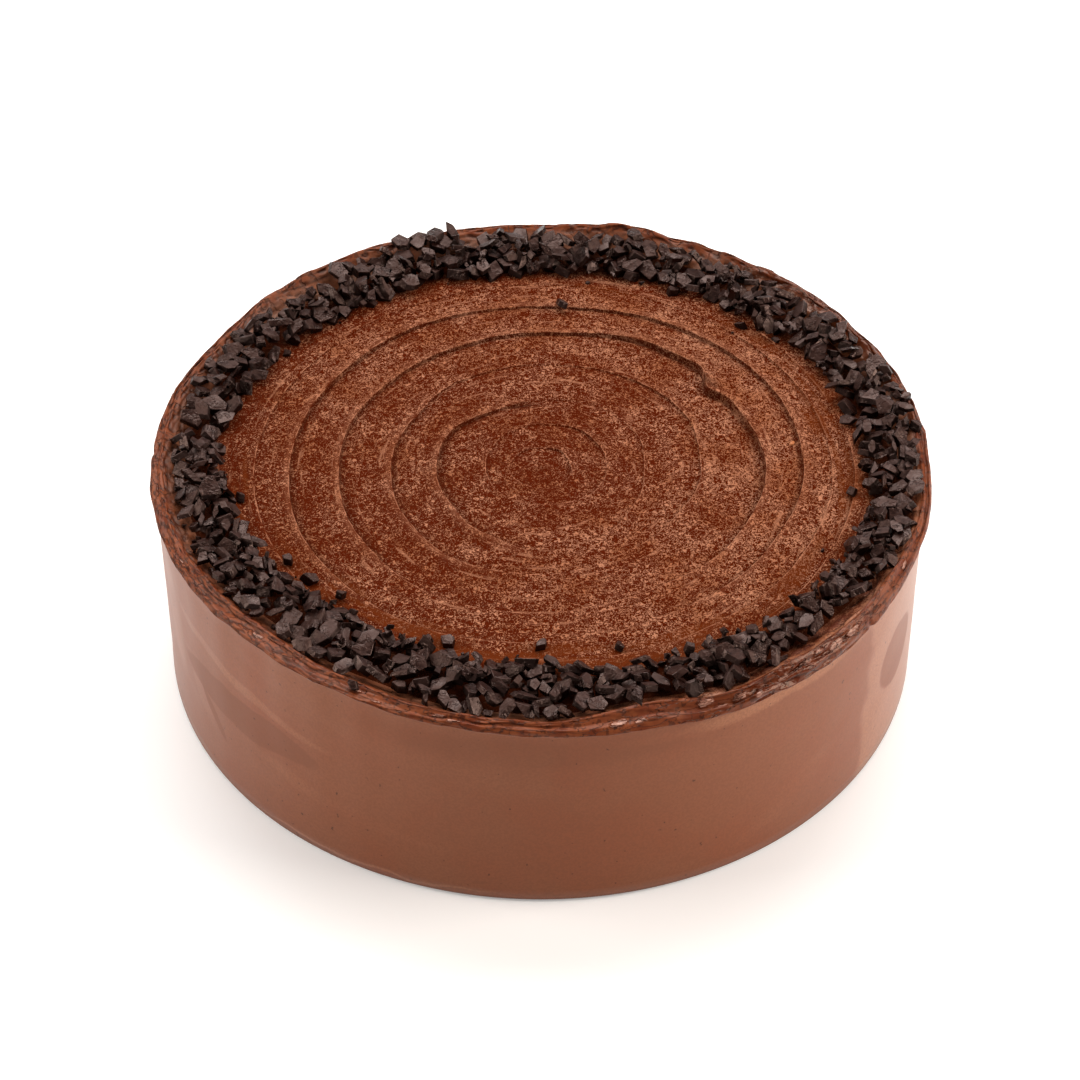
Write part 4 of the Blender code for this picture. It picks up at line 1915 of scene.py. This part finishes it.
@dataclass(frozen=True)
class DustedTopFinish:
    """The dusted top: matt, with painted shade in the creases at the ridges' feet and cocoa melted at
    its edge.
    """

    specks: CocoaSpecks = CocoaSpecks()
    # Colour of the painted shade.
    shade_colour: Colour = (0.030, 0.0050, 0.0012, 1.0)
    shade_share: float = 0.9
    stroke_place: Pair = (520.0, 3.5)
    stroke_share: float = 0.45
    stroke_bump: float = 0.34 * MM
    melted_share: float = 0.50
    shine: Colour = (1.0, 0.72, 0.50, 1.0)
    specular: float = 0.04
    roughness: Pair = (0.50, 0.85)
    powder_bump: float = 0.16 * MM

    def material(self) -> bpy.types.Material:
        """Builds the material.

        Returns:
            The material.
        """
        finish = Finish("dusted_chocolate_cream")
        dust, highlight_and_gloss = finish.attribute("dust"), finish.attribute("highlight_and_gloss")
        colour, speck = self.specks.build(finish, dust, highlight_and_gloss)
        strokes = finish.noise(1.0, 3.0, 0.6, at=finish.ring_place(*self.stroke_place))
        stroked = finish.ease(strokes, 0.60, 0.70, 0.0, self.stroke_share)
        colour = finish.mix(stroked, colour, self.specks.cream)
        patch = finish.math("SUBTRACT", finish.noise(180.0, 3.0, 0.6), 0.5)
        melted = finish.math("ADD", finish.attribute("gloss"), patch)
        melted = finish.ease(melted, 0.30, 1.00, 0.0, self.melted_share)
        colour = finish.mix(melted, colour, self.specks.melted)
        # Painted shade darkens the ridges' feet, the lump's edge, the torn mark and the ground between
        # the chips.
        crease_shade = finish.math("MULTIPLY", finish.attribute("crease_shade"), self.shade_share)
        colour = finish.mix(crease_shade, colour, self.shade_colour)
        rough = finish.ease(speck, 0.0, 1.0, *self.roughness)
        powder = finish.math("ADD", speck, finish.noise(1500.0, 3.0, 0.6))
        normal = finish.bump(powder, self.powder_bump)
        normal = finish.bump(strokes, self.stroke_bump, normal)
        return finish.surface(colour, rough, normal, self.specular, self.shine)


@dataclass(frozen=True)
class CoatMark:
    """A mark on the side coat: a leaned oval, paler or duller than it. Its tone is partly the
    scraper's uneven tone and partly painted light: pale streaks and patches are painted reflections of
    the lamps on the glossy coat, and the dull dimples and the dull band under the lip are painted
    shade.

    Turns are in degrees, and heights and the lean over its half turn are in millimetres.
    """

    turn: float
    height: float
    half_turn: float
    half_height: float
    lean: float
    tone: float
    edge: float = 0.2

    def add_to(self, finish: Finish, total: Input, turn: Socket, height: Socket) -> Socket:
        """Adds the mark's tone to the tones of others.

        Args:
            finish: The material.
            total: Tones so far.
            turn: How far a place is turned from the front, in degrees.
            height: How high it lies, in metres.

        Returns:
            The tones with this mark's.
        """
        across = finish.math("SUBTRACT", turn, self.turn)
        across = finish.math("MULTIPLY", across, 1 / self.half_turn)
        middle = finish.math("MULTIPLY_ADD", across, self.lean * MM, self.height * MM)
        up = finish.math("SUBTRACT", height, middle)
        up = finish.math("MULTIPLY", up, 1 / (self.half_height * MM))
        away = finish.math("MULTIPLY_ADD", up, up, finish.math("MULTIPLY", across, across))
        tone = finish.ease(away, 1 - self.edge, 1 + self.edge, self.tone, 0.0)
        return finish.math("ADD", total, tone)


# Pale marks are painted reflections of the lamps, dull marks at the foot and under the lip are painted
# shade, and the rest is the scraper's tone.
COAT_MARKS = tuple(CoatMark(*row) for row in (
    (-50.0, 36.5, 16.0, 6.5, 0.5, -0.85, 0.16), (-57.6, 24.7, 3.2, 2.8, -6.3, -0.75, 0.25),
    (-50.0, 49.0, 17.0, 2.2, -4.8, 0.55, 0.6), (-38.0, 55.0, 14.0, 2.4, -5.5, -0.25, 0.6),
    (-61.5, 28.0, 4.0, 5.0, -9.0, 0.28, 0.8), (-30.0, 23.0, 17.0, 2.8, -5.0, 0.25, 0.7),
    (-72.0, 46.0, 4.0, 16.0, -12.0, 0.35, 0.7), (67.3, 35.2, 6.2, 10.8, 0.0, -1.22, 0.16),
    (35.0, 64.6, 19.0, 2.8, 0.0, 0.95, 0.9), (0.0, 63.0, 26.0, 6.0, 0.0, -0.55, 0.9),
    (-28.0, 2.7, 22.0, 0.6, 0.0, 0.70, 0.6), (-8.8, 6.8, 1.4, 0.8, 0.0, -0.50, 0.5),
    (22.1, 9.8, 1.6, 0.9, 0.0, -0.50, 0.5), (40.0, 20.0, 9.0, 6.0, 9.0, 0.22, 0.8),
    (118.0, 42.0, 15.0, 4.0, 5.0, -0.50, 0.3), (128.0, 30.0, 12.0, 2.5, 5.0, 0.40, 0.6),
    (-112.0, 28.0, 14.0, 5.0, -5.0, -0.50, 0.3), (-135.0, 46.0, 16.0, 2.5, -4.0, 0.40, 0.6),
    (160.0, 22.0, 12.0, 5.0, 4.0, -0.40, 0.4),
))


@dataclass(frozen=True)
class CoatFinish:
    """The satin side coat with marks of painted reflection and painted shade, and the cracked rim,
    glossy where uneven.

    A tone is how much paler, up to 1, or duller, down to -1, a place is painted: the scraper's uneven
    tone, painted reflections of the lamps and painted shade.
    """

    specks: CocoaSpecks = CocoaSpecks()
    side: Colour = (0.209, 0.0640, 0.0255, 1.0)
    side_warm: Colour = (0.212, 0.0570, 0.0205, 1.0)
    # Pale colour of the painted reflections, and of the scraper's paler tone.
    side_pale: Colour = (0.345, 0.138, 0.0640, 1.0)
    side_dull: Colour = (0.149, 0.0430, 0.0165, 1.0)
    side_roughness: Pair = (0.42, 0.30)
    side_bump: float = 0.10 * MM
    marks: tuple[CoatMark, ...] = COAT_MARKS
    mark_wobble: float = 6.0
    pale_start: Pair = (55.6, 57.8)
    pale_end: Pair = (76.0, 90.0)
    pale_tone: float = 0.85
    haze_tone: float = 0.9
    toned: float = 0.62
    grained: float = 0.42
    rim: Colour = (0.122, 0.0205, 0.0048, 1.0)
    rim_pale: Colour = (0.190, 0.0445, 0.0130, 1.0)
    rim_glossy: Colour = (0.066, 0.0090, 0.0014, 1.0)
    # Colour of the painted glints on the rim's glossy flakes.
    rim_glint: Colour = (0.400, 0.200, 0.1450, 1.0)
    rim_roughness: Pair = (0.46, 0.17)
    dent_bump: float = 0.40 * MM
    layer_bump: float = 0.22 * MM
    dusted_share: float = 0.62
    dusted_roughness: float = 0.75
    # Colour of the painted shade in creases, cracks, pits, pores and at the foot.
    shade_colour: Colour = (0.028, 0.0040, 0.0008, 1.0)
    shade_share: float = 0.93
    shine: Colour = (1.0, 0.74, 0.60, 1.0)
    specular: float = 0.30

    def tone(self, finish: Finish) -> Socket:
        """The tone of each place of the side coat: painted reflections and painted shade on the
        scraper's uneven tone.

        Args:
            finish: The material.

        Returns:
            The tone.
        """
        turn = finish.turn()
        wobble = finish.math("SUBTRACT", finish.noise(60.0, 2.0, 0.5), 0.5)
        height = finish.math("MULTIPLY_ADD", wobble, self.mark_wobble * MM, finish.height())
        start = finish.math("MULTIPLY_ADD", wobble, self.mark_wobble, turn)
        # Painted reflection: a pale zone on the right of the coat, where it mirrors the right lamp.
        pale = finish.ease(start, *self.pale_start, 0.0, self.pale_tone)
        pale = finish.math("MULTIPLY", pale, finish.ease(turn, *self.pale_end, 1.0, 0.0))
        haze = finish.noise(1.0, 3.0, 0.55, at=finish.ring_place(60.0, 2.5))
        haze = finish.math("MULTIPLY", finish.math("SUBTRACT", haze, 0.5), self.haze_tone)
        total = finish.math("ADD", pale, haze)
        for mark in self.marks:
            total = mark.add_to(finish, total, turn, height)
        return total

    def side_colour(self, finish: Finish, tone: Socket) -> Socket:
        """The side coat's colour, with reddish blotches, marks, grain, and painted shade in its pores
        and at its foot.

        Args:
            finish: The material.
            tone: How much paler or duller each place is.

        Returns:
            The colour.
        """
        blotch = finish.noise(26.0, 3.0, 0.55, bend=0.4)
        coat = finish.mix(finish.ease(blotch, 0.40, 0.66), self.side, self.side_warm)
        coat = finish.mix(finish.ease(tone, 0.0, 1.0, 0.0, self.toned), coat, self.side_pale)
        coat = finish.mix(finish.ease(tone, -1.0, 0.0, self.toned, 0.0), coat, self.side_dull)
        grain = finish.noise(1300.0, 1.0, 0.5)
        coat = finish.mix(finish.ease(grain, 0.32, 0.68, 0.0, self.grained), coat, self.side_dull)
        # Painted shade in the pores.
        pore = finish.noise(620.0, 1.0, 0.4)
        coat = finish.mix(finish.ease(pore, 0.745, 0.80, 0.0, 0.7), coat, self.shade_colour)
        # Painted shade at the foot, where the coat meets the floor.
        foot = finish.ease(finish.height(), 0.5 * MM, 1.5 * MM, 0.8, 0.0)
        return finish.mix(foot, coat, self.shade_colour)

    def rim_colour(self, finish: Finish, shine: Socket, layer: Socket) -> Socket:
        """The rim's colour, with painted glints on its flakes, and painted shade in pits and in cracks
        along its thin layers' edges.

        Args:
            finish: The material.
            shine: Where it is glossy, 0 to 1.
            layer: The noise whose middle line is the layers' edge.

        Returns:
            The colour.
        """
        blotch = finish.noise(230.0, 3.0, 0.6)
        colour = finish.mix(finish.ease(blotch, 0.38, 0.62), self.rim, self.rim_pale)
        colour = finish.mix(finish.ease(layer, 0.50, 0.56, 0.0, 0.5), colour, self.rim_pale)
        colour = finish.mix(finish.math("MULTIPLY", shine, 0.8), colour, self.rim_glossy)
        # Painted highlight: pale pink glints on the glossy flakes.
        streak = finish.noise(1.0, 2.0, 0.6, at=finish.ring_place(700.0, 16.0))
        glinted = finish.ease(shine, 0.88, 0.97)
        glinted = finish.math("MULTIPLY", glinted, finish.ease(streak, 0.38, 0.58, 0.20, 0.90))
        colour = finish.mix(glinted, colour, self.rim_glint)
        # Painted shade in the pits and in the cracks along the layers' edges.
        pit = finish.noise(560.0, 2.0, 0.55)
        colour = finish.mix(finish.ease(pit, 0.55, 0.62, 0.0, 0.66), colour, self.shade_colour)
        crack = finish.math("ABSOLUTE", finish.math("SUBTRACT", layer, 0.5))
        return finish.mix(finish.ease(crack, 0.004, 0.022, 0.70, 0.0), colour, self.shade_colour)

    def material(self) -> bpy.types.Material:
        """Builds the material.

        Returns:
            The material.
        """
        finish = Finish(Slot.CREAM.value)
        dust, gloss = finish.attribute("dust"), finish.attribute("gloss")
        crease_shade, shine = finish.attribute("crease_shade"), finish.attribute("highlight_and_gloss")
        tone = self.tone(finish)
        layer = finish.noise(1.0, 3.0, 0.55, at=finish.ring_place(240.0, 11.0))
        dusted = finish.ease(dust, 0.02, 0.16, 0.0, self.dusted_share)
        specked, speck = self.specks.build(finish, dust, 0.0)
        side, rim = self.side_colour(finish, tone), self.rim_colour(finish, shine, layer)
        colour = finish.mix(dusted, finish.mix(gloss, side, rim), specked)
        # Painted shade in creases, cracks, under the lip and beside the chips.
        crease_shade = finish.math("MULTIPLY", crease_shade, self.shade_share)
        colour = finish.mix(crease_shade, colour, self.shade_colour)

        side_rough = finish.ease(tone, -1.0, 1.0, *self.side_roughness)
        rim_rough = finish.ease(shine, 0.0, 1.0, *self.rim_roughness)
        rough = finish.ease(gloss, 0.0, 1.0, side_rough, rim_rough)
        powder = finish.math("MULTIPLY", dusted, speck)
        rough = finish.ease(powder, 0.0, 1.0, rough, self.dusted_roughness)

        dents = finish.noise(1.0, 2.0, 0.5, at=finish.ring_place(420.0, 34.0))
        uneven = finish.math("MULTIPLY", gloss, finish.ease(shine, 0.0, 1.0, 0.20, 1.0))
        normal = finish.bump(finish.math("MULTIPLY", dents, uneven), self.dent_bump)
        ledge = finish.math("MULTIPLY", finish.ease(layer, 0.485, 0.515), gloss)
        normal = finish.bump(ledge, self.layer_bump, normal)
        normal = finish.bump(finish.noise(70.0, 3.0, 0.55), self.side_bump, normal)
        return finish.surface(colour, rough, normal, self.specular, self.shine)


@dataclass(frozen=True)
class DarkFinish:
    """Snapped dark chocolate: dull brownish-grey faces, some of them rough, a little gloss, and
    painted shade on faces that don't look up.
    """

    painted_shade: Colour = (0.0032, 0.0008, 0.0005, 1.0)
    bloom: Colour = (0.0240, 0.0088, 0.0064, 1.0)
    bloom_dark: Colour = (0.0110, 0.0034, 0.0024, 1.0)
    powder: Colour = (0.0480, 0.0200, 0.0150, 1.0)
    powder_share: float = 0.55
    shine: Colour = (1.0, 0.66, 0.56, 1.0)
    specular: float = 0.39
    roughness: Pair = (0.24, 0.50)
    grit_bump: float = 0.26 * MM
    dent_bump: float = 0.32 * MM

    def material(self) -> bpy.types.Material:
        """Builds the material.

        Returns:
            The material.
        """
        finish = Finish(Slot.DARK.value)
        patch = finish.noise(240.0, 3.0, 0.6)
        grit = finish.noise(1900.0, 2.0, 0.6)
        colour = finish.mix(finish.ease(patch, 0.40, 0.60), self.bloom_dark, self.bloom)
        powder = finish.ease(grit, 0.50, 0.64, 0.0, self.powder_share)
        colour = finish.mix(powder, colour, self.powder)
        # Painted shade: faces turn black as they turn away from the light above, and only upward faces
        # keep their colour.
        colour = finish.mix(finish.ease(finish.upward(), 0.25, 0.92), self.painted_shade, colour)
        rough = finish.ease(patch, 0.35, 0.65, *self.roughness)
        broken = finish.ease(finish.noise(330.0, 2.0, 0.6), 0.5, 0.62)
        normal = finish.bump(finish.math("MULTIPLY", grit, broken), self.grit_bump)
        normal = finish.bump(finish.noise(460.0, 3.0, 0.6), self.dent_bump, normal)
        return finish.surface(colour, rough, normal, self.specular, self.shine)


@dataclass(frozen=True)
class CrumbFinish:
    """Toasted biscuit."""

    toasted: Colour = (0.50, 0.17, 0.045, 1.0)
    burnt: Colour = (0.30, 0.08, 0.02, 1.0)
    roughness: Pair = (0.35, 0.7)
    bump: float = 0.2 * MM

    def material(self) -> bpy.types.Material:
        """Builds the material.

        Returns:
            The material.
        """
        finish = Finish("biscuit")
        patch = finish.noise(900.0, 3.0, 0.6)
        colour = finish.mix(patch, self.toasted, self.burnt)
        rough = finish.ease(patch, 0.3, 0.7, *self.roughness)
        return finish.surface(colour, rough, finish.bump(finish.noise(2400.0), self.bump))


@dataclass(frozen=True)
class Softbox:
    """A soft area light that faces the cake."""

    name: str
    place: Triple
    size: Pair
    power: float
    tint: Triple = (1.0, 1.0, 1.0)
    aim: Triple = (0.0, 0.0, 0.05)

    def build(self) -> None:
        """Creates the light."""
        data = bpy.data.lights.new(self.name, "AREA")
        data.shape = "RECTANGLE"
        data.size, data.size_y = self.size
        data.energy = self.power
        data.color = self.tint
        light = linked(self.name, data)
        light.location = self.place
        towards = Vector(self.aim) - Vector(self.place)
        light.rotation_euler = towards.to_track_quat("-Z", "Y").to_euler()


@dataclass(frozen=True)
class Studio:
    """The plain studio: a pale floor, soft lights and the camera at the photograph's angle."""

    focal_pixels: float = 4000.0
    image_pixels: float = 1080.0
    sensor: float = 36.0
    elevation: float = 41.98
    distance: float = 1.3126
    target: Triple = (-0.0002, 0.04396, 0.0)
    clip: Pair = (0.05, 50.0)
    world_colour: Colour = (1.0, 1.0, 1.0, 1.0)
    world_strength: float = 0.28
    softboxes: tuple[Softbox, ...] = (
        Softbox("softbox_top", (0.0, 1.0, 1.6), (1.8, 1.2), 40.0),
        Softbox("softbox_right", (1.25, -0.15, 0.72), (0.8, 0.9), 20.0, (1.0, 0.92, 0.84)),
        Softbox("softbox_left", (-1.3, -0.05, 0.68), (0.8, 0.9), 14.0, (1.0, 0.93, 0.86)),
    )
    floor_half: float = 4.0
    floor_drop: float = 0.0003
    floor_colour: Colour = (0.80, 0.79, 0.78, 1.0)
    floor_roughness: float = 0.6
    floor_glow: Colour = (1.0, 0.975, 0.955, 1.0)
    floor_glow_strength: float = 0.28

    def camera(self) -> None:
        """Creates the camera."""
        data = bpy.data.cameras.new("camera")
        data.sensor_width = self.sensor
        data.lens = self.sensor * self.focal_pixels / self.image_pixels
        data.clip_start, data.clip_end = self.clip
        camera = linked("camera", data)
        rise = math.radians(self.elevation)
        away = Vector((0, -math.cos(rise), math.sin(rise)))
        camera.location = Vector(self.target) + self.distance * away
        camera.rotation_euler = (math.pi / 2 - rise, 0, 0)
        bpy.context.scene.camera = camera

    def floor(self) -> Thing:
        """Creates the pale floor."""
        paint = Finish("floor")
        paint.give("Base Color", self.floor_colour)
        paint.give("Roughness", self.floor_roughness)
        paint.give("Emission Color", self.floor_glow)
        paint.give("Emission Strength", self.floor_glow_strength)
        half = self.floor_half
        corners = [(-half, -half, 0), (half, -half, 0), (half, half, 0), (-half, half, 0)]
        mesh = bpy.data.meshes.new("floor")
        mesh.from_pydata(corners, [], [(0, 1, 2, 3)])
        mesh.materials.append(paint.material)
        floor = linked("floor", mesh)
        floor.location.z = -self.floor_drop
        return floor

    def build(self) -> None:
        """Sets up the whole studio."""
        self.camera()
        world = bpy.data.worlds.new("studio")
        world.use_nodes = True
        background = world.node_tree.nodes["Background"]
        background.inputs["Color"].default_value = self.world_colour
        background.inputs["Strength"].default_value = self.world_strength
        bpy.context.scene.world = world
        bpy.context.scene.view_settings.view_transform = "Standard"
        for softbox in self.softboxes:
            softbox.build()
        self.floor()


def dress(piece: Thing, material: bpy.types.Material) -> Thing:
    """Gives a piece its finish and tells the frame what it is.

    Args:
        piece: The piece.
        material: Its finish.

    Returns:
        The same piece.
    """
    piece.data.materials.append(material)
    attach(piece, "root")
    return piece


def main() -> None:
    """Builds the studio and the cake."""
    logging.basicConfig(level=logging.INFO)
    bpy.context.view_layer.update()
    Studio().build()
    shape = CakeShape()
    relief = TopRelief(shape)

    coat = CreamCoat(shape, relief).make()
    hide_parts("cake")
    top = CreamTop(shape, relief, Dusting(shape)).make()
    heap = Heap(relief)
    crumb = Crumb(heap).make()
    chips = Border(shape, heap).make()
    for piece in (coat, top, crumb, chips):
        LOG.info("%s: %d faces", piece.name, len(piece.data.polygons))


if __name__ == "__main__":
    main()
